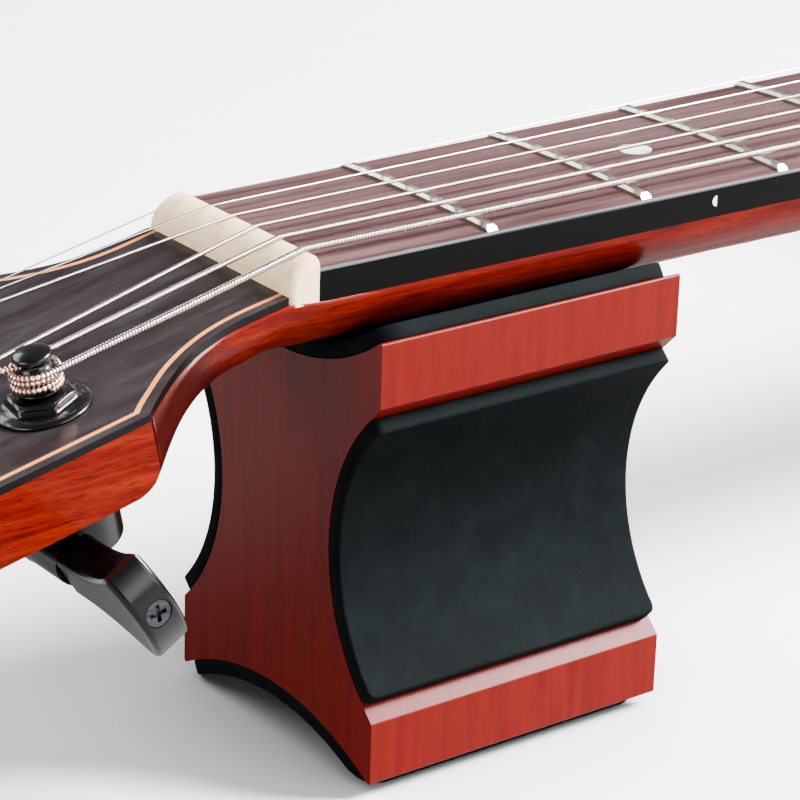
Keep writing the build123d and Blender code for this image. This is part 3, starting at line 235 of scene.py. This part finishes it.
# ------------------------------------------------------------------ materials
def wood(name, dark, mid, light, stretch, streak=0.35, rough=(0.28, 0.4), coat=0.6, coat_rough=0.06, pore=1.0,
         bump=0.00002, side=None, specular=0.1, pore_scale=16.0, pore_level=0.30, painted_cheek_shade=None,
         painted_edge_highlight=None):
    """Grain runs along the axis with the small number in stretch.

    side colours the faces that look across the strings, painted_edge_highlight is a painted highlight on the
    rounded edge above them, and cheek is painted shade on the faces that look towards the body.
    """
    s = Shader(name, Coat_Weight=coat, Coat_Roughness=coat_rough, Specular_IOR_Level=specular)
    along = s.scaled(*stretch)
    broad = s.noise(along, 1.0, 3.0, 0.5, 0.6)
    fine = s.noise(along, 5.5, 6.0, 0.65, 0.3)
    pores = s.noise(along, pore_scale, 3.0, 0.7)
    base = s.ramp(broad, (0.25, srgb(*dark)), (0.5, srgb(*mid)), (0.78, srgb(*light)))
    shade = s.grey_ramp(fine, (0.28, 1.0 - streak), (0.62, 1.0))
    tone = s.mix(1.0, base, shade, "MULTIPLY")
    specks = s.grey_ramp(pores, (pore_level, 1.0 - 0.55 * pore), (pore_level + 0.10, 1.0))
    tone = s.mix(1.0, tone, specks, "MULTIPLY")
    if side:
        edge = s.maths("ABSOLUTE", s.normal_axis(1))
        edge = s.grey_ramp(edge, (0.55, 0.0), (0.75, 1.0))
        tone = s.mix(edge, tone, srgb(*side))
    # painted highlight: a pale band on the faces between the side and the top, where the rounded edge would
    # reflect light
    if painted_edge_highlight:
        up = s.normal_axis(2)
        past_side = s.grey_ramp(up, (0.15, 0.0), (0.35, 1.0))
        before_top = s.grey_ramp(up, (0.8, 1.0), (0.93, 0.0))
        painted_highlight_band = s.maths("MULTIPLY", past_side, before_top)
        tone = s.mix(painted_highlight_band, tone, srgb(*painted_edge_highlight))
    # painted shade: the faces that look towards the body are darkened towards this colour
    if painted_cheek_shade:
        painted_shade_towards_body = s.grey_ramp(s.normal_axis(0), (0.10, 0.0), (0.42, 0.93))
        tone = s.mix(painted_shade_towards_body, tone, srgb(*painted_cheek_shade))
    s.colour(tone)
    s.rough_between(fine, *rough)
    s.bump((pores, bump), (fine, bump * 1.5))
    return s.material


def rubber(name):
    s = Shader(name, Specular_IOR_Level=0.015)
    blotch = s.noise(s.place, 130.0, 5.0, 0.6)
    grit = s.noise(s.place, 1900.0, 3.0, 0.6)
    worms = s.noise(s.place, 520.0, 4.0, 0.7, 1.2)
    tone = s.ramp(blotch, (0.25, srgb(17, 22, 23)), (0.55, srgb(24, 29, 30)), (0.8, srgb(31, 36, 37)))
    dust = s.grey_ramp(worms, (0.60, 0.0), (0.75, 0.12))
    s.colour(s.mix(dust, tone, srgb(58, 63, 63)))
    s.rough_between(blotch, 0.62, 0.86)
    s.bump((grit, 0.00006), (worms, 0.0001), (blotch, 0.0002))
    return s.material


def metal(name, low, high, rough, brushed, tarnish=None):
    s = Shader(name, Metallic=1.0)
    lines = s.noise(s.scaled(*brushed), 1.0, 5.0, 0.6)
    cloud = s.noise(s.place, 300.0, 3.0)
    tone = s.ramp(lines, (0.3, srgb(*low, MIRRORED)), (0.7, srgb(*high, MIRRORED)))
    if tarnish:
        spots = s.grey_ramp(cloud, (0.52, 0.0), (0.72, 0.6))
        tone = s.mix(spots, tone, srgb(*tarnish, 0.8))
    s.colour(tone)
    s.rough_between(cloud, *rough)
    s.bump((lines, 0.00001))
    return s.material


def plastic(name, low, high, rough, coat=0.0, grain=900.0, bump=0.00001, scale=DIM):
    s = Shader(name, Coat_Weight=coat, Coat_Roughness=0.1)
    cloud = s.noise(s.place, 160.0, 4.0)
    fine = s.noise(s.place, grain, 4.0, 0.6)
    tone = s.ramp(cloud, (0.3, srgb(*low, scale)), (0.7, srgb(*high, scale)))
    s.colour(tone)
    s.rough_between(fine, *rough)
    s.bump((fine, bump))
    return s.material


def wound_wire(name, low, high, groove):
    """The tubes carry how deep each point lies between two turns of the winding; the deep places get painted
    shade.
    """
    s = Shader(name, Metallic=1.0)
    between = s.node("ShaderNodeAttribute", attribute_name="groove").outputs["Fac"]
    cloud = s.noise(s.place, 900.0, 3.0)
    tone = s.ramp(cloud, (0.3, srgb(*low, MIRRORED)), (0.7, srgb(*high, MIRRORED)))
    # painted shade: the wire darkens towards the groove colour where it lies deep between two turns
    shaded = s.grey_ramp(between, (0.3, 0.0), (0.95, 0.9))
    s.colour(s.mix(shaded, tone, srgb(*groove, MIRRORED)))
    s.rough_between(cloud, 0.18, 0.32)
    s.bump((cloud, 0.000004))
    return s.material


def rosette_rings():
    s = Shader("rosette_rings", Coat_Weight=0.6, Coat_Roughness=0.05)
    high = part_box("rosette")[1]
    hole_x = high.x - ROSETTE_RADIUS
    shifted = s.node("ShaderNodeMapping", {"Vector": s.place, "Location": (-hole_x, 0, -DECK)}).outputs[0]
    rings = s.node("ShaderNodeTexWave", {"Vector": shifted, "Scale": 92.0}, wave_type="RINGS",
                   rings_direction="Z")
    grain = s.noise(shifted, 700.0, 4.0)
    tone = s.ramp(rings.outputs["Fac"], (0.25, srgb(30, 22, 20)), (0.5, srgb(215, 160, 110)),
                  (0.8, srgb(120, 45, 25)))
    s.colour(s.mix(1.0, tone, s.grey_ramp(grain, (0.2, 0.75), (0.7, 1.0)), "MULTIPLY"))
    s.rough(s.grey_ramp(grain, (0.2, 0.25), (0.8, 0.38)))
    s.bump((grain, 0.00001))
    return s.material


def pearl():
    s = Shader("pearl", Coat_Weight=0.8, Coat_Roughness=0.05)
    swirl = s.noise(s.place, 420.0, 4.0, 0.5, 2.0)
    pale = 0.95
    s.colour(s.ramp(swirl, (0.25, srgb(196, 204, 205, pale)), (0.5, srgb(240, 236, 232, pale)),
                    (0.75, srgb(212, 222, 214, pale))))
    s.rough(s.grey_ramp(swirl, (0.3, 0.2), (0.7, 0.4)))
    s.bump((swirl, 0.00002))
    return s.material


M = {
    "rest_wood": wood("rest_wood", (124, 12, 3), (144, 17, 4), (154, 23, 5), stretch=(420, 420, 26),
                      streak=0.10, rough=(0.34, 0.46), coat=0.05, coat_rough=0.26, pore=0.18,
                      bump=0.000006, specular=0.06),
    "pad_rubber": rubber("pad_rubber"),
    # the neck's faces that look towards the body get painted shade
    "neck_wood": wood("neck_wood", (104, 9, 1), (156, 22, 2), (196, 50, 4), stretch=(38, 560, 560),
                      streak=0.42, rough=(0.26, 0.36), coat=0.06, coat_rough=0.08, pore=1.0,
                      bump=0.000008, specular=0.03, pore_scale=6.0, pore_level=0.37, painted_cheek_shade=(44, 8, 7)),
    "body_wood": wood("body_wood", (96, 28, 12), (140, 44, 18), (168, 62, 26), stretch=(12, 260, 260),
                      streak=0.4, rough=(0.3, 0.4), coat=0.35, coat_rough=0.16, pore=0.9, bump=0.000008),
    # the fretboard's rounded top edge gets a painted highlight
    "fretboard_wood": wood("fretboard_wood", (84, 54, 54), (124, 88, 88), (152, 116, 112),
                           stretch=(16, 520, 520), streak=0.45, rough=(0.36, 0.5), coat=0.03, coat_rough=0.25,
                           pore=1.0, bump=0.00003, side=(5, 5, 6), specular=0.03, painted_edge_highlight=(120, 124, 130)),
    "overlay_wood": wood("overlay_wood", (42, 29, 32), (64, 55, 58), (78, 76, 78), stretch=(14, 240, 240),
                         streak=0.22, rough=(0.3, 0.4), coat=0.12, coat_rough=0.14, pore=0.3, bump=0.000006,
                         side=(5, 4, 4), specular=0.05),
    "bridge_wood": wood("bridge_wood", (34, 22, 20), (60, 38, 34), (84, 56, 48), stretch=(420, 18, 420),
                        streak=0.4, rough=(0.35, 0.5), coat=0.1, coat_rough=0.2, pore=1.0, bump=0.00003),
    "spruce": wood("spruce", (196, 142, 84), (222, 172, 108), (236, 192, 128), stretch=(6, 620, 6),
                   streak=0.16, rough=(0.36, 0.46), coat=0.22, coat_rough=0.24, pore=0.25, bump=0.000006),
    "inner_wood": wood("inner_wood", (196, 158, 108), (218, 184, 134), (232, 204, 158),
                       stretch=(30, 300, 300), streak=0.2, rough=(0.6, 0.75), coat=0.0, coat_rough=0.3,
                       pore=0.5, bump=0.00003),
    "peach_line": plastic("peach_line", (222, 128, 66), (236, 150, 88), (0.3, 0.42), 0.1, scale=0.7),
    "binding": plastic("binding", (30, 20, 18), (44, 30, 26), (0.28, 0.4), 0.7),
    "rosette": rosette_rings(),
    "fret_metal": metal("fret_metal", (150, 142, 132), (206, 198, 186), (0.24, 0.4), (300, 2500, 300),
                        tarnish=(118, 104, 84)),
    "ivory": plastic("ivory", (243, 205, 156), (249, 217, 174), (0.38, 0.52), 0.06, 500.0, 0.00002,
                     scale=0.92),
    "pearl": pearl(),
    "steel": metal("steel", (44, 44, 47), (74, 74, 79), (0.3, 0.45), (60, 1500, 1500)),
    "black_hardware": plastic("black_hardware", (9, 9, 10), (16, 16, 18), (0.2, 0.3), 0.2, 900.0, 0.000003),
    "black_button": plastic("black_button", (7, 6, 7), (11, 10, 12), (0.17, 0.28), 0.04, 1200.0, 0.000004),
    "pickguard_plastic": plastic("pickguard_plastic", (10, 8, 9), (17, 14, 14), (0.26, 0.3), 0.05, 300.0,
                                 0.000001),
    "plain_wire": metal("plain_wire", (196, 196, 200), (232, 232, 236), (0.14, 0.28), (40, 3000, 3000)),
    # the last colour of each wound wire is the painted shade in its grooves
    "wound_wire": wound_wire("wound_wire", (206, 190, 184), (236, 222, 216), (92, 70, 66)),
    "coil_wire": wound_wire("coil_wire", (236, 186, 164), (255, 230, 216), (96, 38, 20)),
}

# the material of each carried-over CAD node
FINISH = {
    "rest_block": "rest_wood", "neck": "neck_wood", "headstock_overlay": "overlay_wood",
    "headstock_purfling": "peach_line", "fretboard": "fretboard_wood", "frets": "fret_metal", "nut": "ivory",
    "inlay_dots": "pearl", "truss_rod": "steel", "soundboard": "spruce", "back_plate": "body_wood",
    "rim": "body_wood", "bindings": "binding", "linings": "inner_wood", "end_blocks": "inner_wood",
    "braces": "inner_wood", "bridge": "bridge_wood", "saddle": "ivory", "bridge_pins": "ivory",
    "pickguard": "pickguard_plastic", "rosette": "rosette", "end_pin": "black_button", "heel_cap": "binding",
    "tuner_housings": "black_button", "tuner_screws": "steel",
}
for name in STRINGS:
    FINISH[f"{name}_button"] = "black_button"
    FINISH[f"{name}_worm"] = "steel"
# width of the rounding of their sharp edges, in millimetres
BEVELS = {
    "rest_block": 0.45, "neck": 0.5, "headstock_overlay": 0.25, "fretboard": 0.7, "nut": 0.3,
    "soundboard": 0.3, "bridge": 0.8, "saddle": 0.4, "tuner_housings": 0.3, "pickguard": 0.4,
    "bindings": 0.8, "frets": 0.2,
}


def bevel(piece, width):
    modifier = piece.modifiers.new("bevel", "BEVEL")
    modifier.width = width * MM
    modifier.segments = 3
    modifier.limit_method = "ANGLE"
    modifier.angle_limit = math.radians(40)


for node, finish in FINISH.items():
    piece = NODES[node]
    for part in [piece] + list(piece.children_recursive):
        if part.type != "MESH":
            continue
        if not part.material_slots:
            part.data.materials.append(M[finish])
        for material_slot in part.material_slots:
            material_slot.material = M[finish]
        if node in BEVELS:
            bevel(part, BEVELS[node])


# ------------------------------------------------------------------ mesh helpers
def add_mesh(name, points, faces, material):
    mesh = bpy.data.meshes.new(name)
    mesh.from_pydata([tuple(p) for p in points], [], faces)
    mesh.update()
    shaper = bmesh.new()
    shaper.from_mesh(mesh)
    bmesh.ops.recalc_face_normals(shaper, faces=shaper.faces)
    shaper.to_mesh(mesh)
    shaper.free()
    mesh.shade_smooth()
    piece = bpy.data.objects.new(name, mesh)
    scene.collection.objects.link(piece)
    mesh.materials.append(M[material])
    return piece


def tube(path, radius, sides, name, material):
    """A tube along the points of path; radius is a number or one number per point.

    The groove attribute says how deep each point lies below the fullest place, from 0 to 1.
    """
    points, faces = [], []
    tangent = (path[1] - path[0]).normalized()
    side = tangent.orthogonal().normalized()
    for i, place in enumerate(path):
        ahead = path[min(i + 1, len(path) - 1)] - path[max(i - 1, 0)]
        ahead.normalize()
        side = (side - ahead * side.dot(ahead)).normalized()
        other = ahead.cross(side)
        size = radius[i] if isinstance(radius, list) else radius
        for k in range(sides):
            turn = 2 * math.pi * k / sides
            points.append(place + (side * math.cos(turn) + other * math.sin(turn)) * size)
    for i in range(len(path) - 1):
        for k in range(sides):
            a, b = i * sides + k, i * sides + (k + 1) % sides
            faces.append((a, b, b + sides, a + sides))
    faces.append(tuple(range(sides))[::-1])
    last = (len(path) - 1) * sides
    faces.append(tuple(range(last, last + sides)))
    piece = add_mesh(name, points, faces, material)
    groove = piece.data.attributes.new("groove", "FLOAT", "POINT")
    if isinstance(radius, list):
        full, least = max(radius), min(radius)
        for k, item in enumerate(groove.data):
            item.value = (full - radius[k // sides]) / max(full - least, 1e-9)
    return piece


def lathe(name, origin, x_dir, y_dir, z_dir, rings, sides, material):
    """rings of (height, radius at an angle) round an axis; radius may be a function of the angle."""
    points, faces = [], []
    for height, radius in rings:
        for k in range(sides):
            turn = 2 * math.pi * k / sides
            size = radius(turn) if callable(radius) else radius
            outward = x_dir * math.cos(turn) * size + y_dir * math.sin(turn) * size
            points.append(origin + outward + z_dir * height)
    for i in range(len(rings) - 1):
        for k in range(sides):
            a, b = i * sides + k, i * sides + (k + 1) % sides
            faces.append((a, b, b + sides, a + sides))
    faces.append(tuple(range(sides)))
    last = (len(rings) - 1) * sides
    faces.append(tuple(range(last, last + sides)))
    return add_mesh(name, points, faces, material)


# ------------------------------------------------------------------ the neck's carved shoulder
# behind the nut's back: station, half-width, depth, fullness (2 is half an ellipse, more is boxier)
CARVING = (
    (-40.0, 21.9, 12.9, 2.0), (-30.0, 21.8, 13.05, 2.0), (-20.0, 21.7, 13.1, 2.0), (-10.0, 21.6, 13.15, 2.0),
    (-2.0, 21.5, 13.4, 2.0), (6.0, 21.35, 13.4, 2.1), (12.0, 21.55, 13.0, 2.3), (17.0, 22.6, 12.85, 2.6),
    (22.0, 24.6, 12.8, 3.1), (27.0, 27.55, 12.8, 3.9), (32.0, 31.3, 12.9, 5.2), (36.6, 35.2, 13.0, 7.0),
)


def smooth_row(rows, t):
    """A row between the given ones, by a Catmull-Rom curve through their numbers."""
    i = min(int(t), len(rows) - 2)
    f = t - i
    a, b = rows[max(i - 1, 0)], rows[i]
    c, d = rows[i + 1], rows[min(i + 2, len(rows) - 1)]
    return [
        0.5 * (2 * q + (r - p) * f + (2 * p - 5 * q + 4 * r - u) * f * f + (3 * q - p - 3 * r + u) * f ** 3)
        for p, q, r, u in zip(a, b, c, d)
    ]


CARVING_SINK = 1.3 * MM        # the carving's flat face lies so far below the overlay's own face
BEND_HALF = 8.0                # half of the length over which the headstock's tilt comes in


def carved_shoulder():
    points, faces = [], []
    rings, around = 121, 65
    for k in range(rings):
        along, half, depth, full = smooth_row(CARVING, (len(CARVING) - 1) * k / (rings - 1))
        tilt = HEAD_ANGLE * min(max((along + BEND_HALF) / (2 * BEND_HALF), 0.0), 1.0)
        if along > 0:
            origin = head_point(along * MM, 0, -CARVING_SINK)
        else:
            rise = 0.6 * MM * max(1 + along / BEND_HALF, 0)
            origin = Vector((NUT_BACK - along * MM, 0, DECK + rise))
        down = Vector((math.sin(tilt), 0, -math.cos(tilt)))
        for j in range(around):
            turn = math.pi * j / (around - 1)
            x = math.copysign(abs(math.cos(turn)) ** (2 / full), math.cos(turn)) * half * MM
            y = abs(math.sin(turn)) ** (2 / full) * depth * MM
            points.append(origin + Vector((0, x, 0)) + down * y)
    for k in range(rings - 1):
        for j in range(around - 1):
            a = k * around + j
            faces.append((a, a + 1, a + 1 + around, a + around))
        a = k * around
        faces.append((a, a + around, a + 2 * around - 1, a + around - 1))
    faces.append(tuple(range(around)))
    faces.append(tuple(range((rings - 1) * around, rings * around)))
    piece = add_mesh("neck_shoulder_carving", points, faces, "neck_wood")
    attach(piece, "guitar")


carved_shoulder()

# ------------------------------------------------------------------ rubber pads
PAD_THICKNESS = 3.0 * MM
PAD_ROUNDING = 0.55 * MM


def spaced(length, edge, steps):
    """Places along a side, close together near its ends."""
    near = [0.0, 0.10 * MM, 0.28 * MM, 0.55 * MM, edge * 0.35, edge * 0.7, edge]
    middle = [edge + (length - 2 * edge) * i / steps for i in range(1, steps)]
    return near + middle + [length - v for v in reversed(near)]


def pad(name, node, centre, radius, middle_angle, half_angle, corner):
    """A bent rubber strip with softly rounded edges, lining a channel of that radius."""
    low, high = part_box(node)
    length = high.x - low.x
    arc = 2 * half_angle * radius
    us = spaced(length, corner, 26)
    vs = spaced(arc, corner, 34)
    count = len(us) * len(vs)
    points = [None] * (2 * count)

    def rounded(u, v):
        du = max(corner - u, u - (length - corner), 0) / corner
        dv = max(corner - v, v - (arc - corner), 0) / corner
        if du and dv:
            fu = du * math.sqrt(1 - dv * dv / 2) - du
            fv = dv * math.sqrt(1 - du * du / 2) - dv
            u += fu * corner * (1 if u > length / 2 else -1)
            v += fv * corner * (1 if v > arc / 2 else -1)
        return u, v

    for i, u in enumerate(us):
        for j, v in enumerate(vs):
            distance = min(u, length - u, v, arc - v)
            drop = 0.0
            if distance < PAD_ROUNDING:
                drop = PAD_ROUNDING - math.sqrt(max(PAD_ROUNDING ** 2 - (PAD_ROUNDING - distance) ** 2, 0))
            pu, pv = rounded(u, v)
            wave = 0.06 * MM * math.sin(pu * 190) * math.sin(pv * 150 + 1.0)
            angle = middle_angle + (pv - arc / 2) / radius
            face = radius - PAD_THICKNESS + drop + wave * (distance > PAD_ROUNDING)
            for layer, reach in ((0, radius - drop), (1, face)):
                place = Vector((low.x + pu, centre[0] + reach * math.cos(angle),
                                centre[1] + reach * math.sin(angle)))
                place.z = max(place.z, 0.0)
                points[layer * count + i * len(vs) + j] = place
    faces = []
    for layer in (0, 1):
        for i in range(len(us) - 1):
            for j in range(len(vs) - 1):
                a = layer * count + i * len(vs) + j
                faces.append((a, a + 1, a + 1 + len(vs), a + len(vs)))
    border = [i * len(vs) for i in range(len(us))] + [(len(us) - 1) * len(vs) + j for j in range(1, len(vs))]
    border += [i * len(vs) + len(vs) - 1 for i in reversed(range(len(us) - 1))]
    border += [j for j in reversed(range(1, len(vs) - 1))]
    for k, a in enumerate(border):
        b = border[(k + 1) % len(border)]
        faces.append((a, b, b + count, a + count))
    piece = add_mesh(name, points, faces, "pad_rubber")
    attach(piece, "neck_rest")
    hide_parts(node)


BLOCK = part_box("rest_block")
BLOCK_MIDDLE = (BLOCK[0].y + BLOCK[1].y) / 2
HALF_WIDTH = 29.7 * MM
BLOCK_FOOT = 2.0 * MM
BLOCK_TOP = 86.0 * MM


def channel_radius(depth):
    return (HALF_WIDTH ** 2 + depth ** 2) / (2 * depth)


NECK_CHANNEL = 10.2 * MM
FOOT_CHANNEL = 8.2 * MM
NEAR_CHANNEL = 14.0 * MM
FAR_CHANNEL = 12.2 * MM
R_NECK = channel_radius(NECK_CHANNEL)
R_FOOT = channel_radius(FOOT_CHANNEL)
R_SIDE = 38.0 * MM
SIDE_HALF = math.asin(27.2 * MM / R_SIDE)
CENTRE_Z = 44.0 * MM
ROUND_CORNER = 6 * MM
SMALL_CORNER = 2 * MM
pad("neck_pad", "pad_top", (BLOCK_MIDDLE, BLOCK_TOP - NECK_CHANNEL + R_NECK), R_NECK, math.radians(270),
    math.asin(28.9 * MM / R_NECK), ROUND_CORNER)
pad("foot_pad", "pad_bottom", (BLOCK_MIDDLE, BLOCK_FOOT + FOOT_CHANNEL - R_FOOT), R_FOOT, math.radians(89.0),
    math.asin(29.4 * MM / R_FOOT), ROUND_CORNER)
pad("side_pad_near", "pad_near", (BLOCK_MIDDLE - HALF_WIDTH + NEAR_CHANNEL - R_SIDE, CENTRE_Z), R_SIDE, 0.0,
    SIDE_HALF, SMALL_CORNER)
pad("side_pad_far", "pad_far", (BLOCK_MIDDLE + HALF_WIDTH - FAR_CHANNEL + R_SIDE, CENTRE_Z), R_SIDE, math.pi,
    SIDE_HALF, SMALL_CORNER)


# ------------------------------------------------------------------ strings, coils and posts
def crown(across):
    return CROWN_AXIS + math.sqrt(FRETBOARD_RADIUS ** 2 - across ** 2)


NUT_SPACING = 6.9 * MM
SADDLE_SPACING = 10.6 * MM
FRET_HEIGHT = 1.0 * MM
OVER_FIRST_FRET = 0.35 * MM
OVER_MIDDLE_FRET = 2.4 * MM
THICK_WIRE = 0.5 * MM
POST_WAIST = 3.1 * MM
COIL_OUTER = 4.45 * MM


def across_nut(i):
    return (i - 2.5) * NUT_SPACING


def across_saddle(i):
    return (i - 2.5) * SADDLE_SPACING


def nut_z(i):
    return crown(across_nut(i)) + FRET_HEIGHT + OVER_FIRST_FRET + RADII[i]


def saddle_z(i):
    middle = (across_nut(i) + across_saddle(i)) / 2
    return 2 * (crown(middle) + FRET_HEIGHT + OVER_MIDDLE_FRET + RADII[i]) - nut_z(i)


def coil_turns(wire):
    return 3 if wire > THICK_WIRE else 4


def waist(wire):
    return min(POST_WAIST, COIL_OUTER - 2 * wire)


def resample(points, spacing):
    """The same line with evenly spaced points."""
    made = [points[0]]
    left = spacing
    for a, b in zip(points, points[1:]):
        run = (b - a).length
        done = 0.0
        while run - done > left:
            done += left
            made.append(a.lerp(b, done / run))
            left = spacing
        left -= run - done
    return made


def bend(a, corner, b, reach, steps=7):
    """The corner of a line, rounded within reach of it."""
    start = corner + (a - corner).normalized() * reach
    end = corner + (b - corner).normalized() * reach
    made = []
    for i in range(steps + 1):
        t = i / steps
        made.append(start * (1 - t) ** 2 + corner * (2 * t * (1 - t)) + end * t ** 2)
    return made


def ridged(path, wire, pitch, spacing, depth):
    """A radius for each point: full at the winding's crests, less by that share between them."""
    phases = [2 * math.pi * i * spacing / pitch for i in range(len(path))]
    return [wire * (1 - depth * (0.5 - 0.5 * math.cos(phase))) for phase in phases]


WIND = 0.62 * MM               # length of one turn of the low E's winding
STEPS_A_TURN = 5               # points along a string for each turn of its winding
RIDGED_RUN = 150 * MM          # the winding is drawn this far past the nut, then as a smooth tube
STRING_GROOVE = 0.2            # depth of the grooves as a share of the wire's radius
COIL_GROOVE = 0.26
PIN_REACH = 9.25 * MM          # from the saddle to the wire's turn into its bridge pin
PIN_HEIGHT = 9.6 * MM
CREST_BEND = 0.5 * MM
for i, name in enumerate(STRINGS):
    def here(x, y, h):
        return head_point(POSTS[i][0] * MM + x, POSTS[i][1] * MM + y, h)

    wire = RADII[i]
    along, across = POSTS[i]
    wound = i < WOUND_STRINGS
    coil_finish = "coil_wire" if wound else "plain_wire"
    pitch = WIND * (wire / RADII[0]) ** 0.5
    turns = coil_turns(wire)
    centre_radius = waist(wire) + wire
    bottom = COIL_BOTTOM + wire
    rise = (turns - 1) * 2 * wire
    top = bottom + rise

    # string, from its coil over the nut and the saddle to its pin
    start = here(0, WOUND_TO[i] * centre_radius, top)
    crossing = Vector((NUT_X - 0.6 * MM, across_nut(i), nut_z(i)))
    over = Vector((SADDLE_X + 1.7 * MM, across_saddle(i), saddle_z(i)))
    pin = Vector((SADDLE_X + PIN_REACH, across_saddle(i), DECK + PIN_HEIGHT + wire))
    path = [start] + bend(start, crossing, over, CREST_BEND) + bend(crossing, over, pin, CREST_BEND) + [pin]
    if wound:
        spacing = pitch / STEPS_A_TURN
        line = resample(path, spacing)
        cut = int((crossing - start).length / spacing + 0.16 / spacing)
        near = line[:cut]
        smooth_from = cut + int(RIDGED_RUN / spacing)
        board = line[cut - 1:smooth_from]
        far = line[smooth_from - 1::40] + [line[-1]]
        near_sizes = ridged(near, wire, pitch, spacing, STRING_GROOVE)
        board_sizes = ridged(board, wire, pitch, spacing, STRING_GROOVE)
        pieces = [
            tube(near, near_sizes, 10, f"{name}_string_near", "wound_wire"),
            tube(board, board_sizes, 8, f"{name}_string_board", "wound_wire"),
            tube(far, wire * 0.97, 10, f"{name}_string_far", "wound_wire"),
        ]
    else:
        line = [start] + resample(path, 4 * MM)[1:] + [pin]
        pieces = [tube(line, wire, 10, f"{name}_string_line", "plain_wire")]
    for piece in pieces:
        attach(piece, "guitar")
    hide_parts(f"{name}_string")

    # coil, wound down from the string
    wrap = pitch * 1.2
    spacing = wrap / 6 if wound else 0.25 * MM
    length = 2 * math.pi * turns * centre_radius
    steps = int(length / spacing)
    helix = []
    for k in range(steps + 1):
        t = 2 * math.pi * turns * k / steps
        sink = rise * min(max((k / steps - 0.5 / turns) / (1 - 1 / turns), 0), 1)
        helix.append(here(centre_radius * math.sin(t), WOUND_TO[i] * centre_radius * math.cos(t), top - sink))
    sizes = ridged(helix, wire, wrap, length / steps, COIL_GROOVE) if wound else wire
    coil = tube(helix, sizes, 10, f"{name}_coil_turns", coil_finish)
    # the cut end, which comes out of the post above the turns
    out = [here(0.2 * MM, 0.4 * MM, top + wire * 1.2), here(3.0 * MM, -0.2 * MM, top + wire * 1.9)]
    out += [here(6.0 * MM, -0.8 * MM, top + wire * 2.1)]
    if i == 0:
        out += [here(9.5 * MM, -1.0 * MM, top + wire * 1.5)]
    tail_line = resample(out, wrap / 6 if wound else 0.3 * MM)
    tail_sizes = ridged(tail_line, wire, wrap, wrap / 6, COIL_GROOVE) if wound else wire
    tail = tube(tail_line, tail_sizes, 10, f"{name}_cut_end", coil_finish)
    for piece in (coil, tail):
        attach(piece, f"{name}_capstan")
    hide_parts(f"{name}_coil")

    # post with its waist and domed cap: height and radius of each ring, in millimetres
    w = waist(wire) / MM
    profile = (
        (-23.0, 2.4), (-14.4, 2.4), (-14.4, 3.0), (3.0, 3.0), (3.25, w + 0.5), (3.5, w + 0.35), (3.6, w),
        (6.9, w), (7.5, 2.75), (7.9, 2.5), (8.2, 2.55), (8.55, 2.9), (8.8, 3.2), (9.05, 3.33), (9.35, 3.35),
        (9.6, 3.25), (9.8, 3.0), (10.0, 2.55), (10.2, 1.9), (10.32, 1.1), (10.36, 0.3),
    )
    rings = [(height * MM, radius * MM) for height, radius in profile]
    origin = head_point(along * MM, across * MM, 0)
    post = lathe(f"{name}_post_turned", origin, TIPWARD, BASSWARD, FACEWARD, rings, 48, "black_hardware")
    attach(post, f"{name}_capstan")
    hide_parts(f"{name}_post")


# ------------------------------------------------------------------ hexagonal bushings on round flanges
HEX_TURN = math.radians(21.8)


def hexagon(apothem):
    def radius(turn):
        local = (turn - HEX_TURN + math.pi / 6) % (math.pi / 3) - math.pi / 6
        corner = (turn - HEX_TURN) % (math.pi / 3)
        return min(apothem / math.cos(corner - math.pi / 6), apothem * 1.13)
    return radius


HEX_APOTHEM = 5.2 * MM
LOWER_CORNER = 5.55 * MM       # the hexagon's corners are turned down in two steps
UPPER_CORNER = 5.1 * MM
NUT_RINGS = (
    (0.0, 8.1 * MM), (0.35 * MM, 8.15 * MM), (0.6 * MM, 8.0 * MM), (0.85 * MM, 7.3 * MM),
    (1.0 * MM, 6.5 * MM), (1.08 * MM, hexagon(HEX_APOTHEM * 1.05)), (1.2 * MM, hexagon(HEX_APOTHEM)),
    (2.1 * MM, hexagon(HEX_APOTHEM)), (2.35 * MM, lambda turn: min(hexagon(HEX_APOTHEM)(turn), LOWER_CORNER)),
    (2.6 * MM, lambda turn: min(hexagon(HEX_APOTHEM)(turn), UPPER_CORNER)), (2.62 * MM, 4.4 * MM),
    (2.5 * MM, 3.5 * MM), (2.5 * MM, 3.06 * MM), (1.4 * MM, 3.06 * MM),
)
hex_pieces = []
for name, (along, across) in zip(STRINGS, POSTS):
    place = head_point(along * MM, across * MM, 0)
    hex_pieces.append(lathe(f"{name}_bushing_hex", place, TIPWARD, BASSWARD, FACEWARD, NUT_RINGS, 144,
                            "black_hardware"))
for piece in hex_pieces:
    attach(piece, "guitar")
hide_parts("tuner_bushings")

# ------------------------------------------------------------------ floor
# paler to the eye than to the light it throws back, so that the object isn't washed out,
# and darker close to what stands on it, with a painted contact shadow
floor = Shader("floor", Specular_IOR_Level=0.25)
cloud = floor.noise(floor.place, 3.0, 3.0)
seen = floor.node("ShaderNodeLightPath").outputs["Is Camera Ray"]
# painted shadow: ambient occlusion darkens the floor the camera sees close to the objects
open_sky = floor.node("ShaderNodeAmbientOcclusion", {"Distance": 0.06}, samples=8).outputs["AO"]
painted_contact_shadow = floor.grey_ramp(open_sky, (0.2, 0.35), (0.9, 1.0))
paper = floor.mix(1.0, floor.grey_ramp(cloud, (0.3, 0.86), (0.7, 0.88)), painted_contact_shadow, "MULTIPLY")
floor.colour(floor.mix(seen, floor.grey_ramp(cloud, (0.3, 0.28), (0.7, 0.30)), paper))
floor.rough(floor.grey_ramp(cloud, (0.2, 0.5), (0.8, 0.6)))
floor.bump((floor.noise(floor.place, 700.0, 3.0), 0.00001))
plane = bpy.data.meshes.new("floor")
plane.from_pydata([(-6, -6, 0), (6, -6, 0), (6, 6, 0), (-6, 6, 0)], [], [(0, 1, 2, 3)])
plane.materials.append(floor.material)
ground = bpy.data.objects.new("floor", plane)
ground.location.z = -0.0002
scene.collection.objects.link(ground)
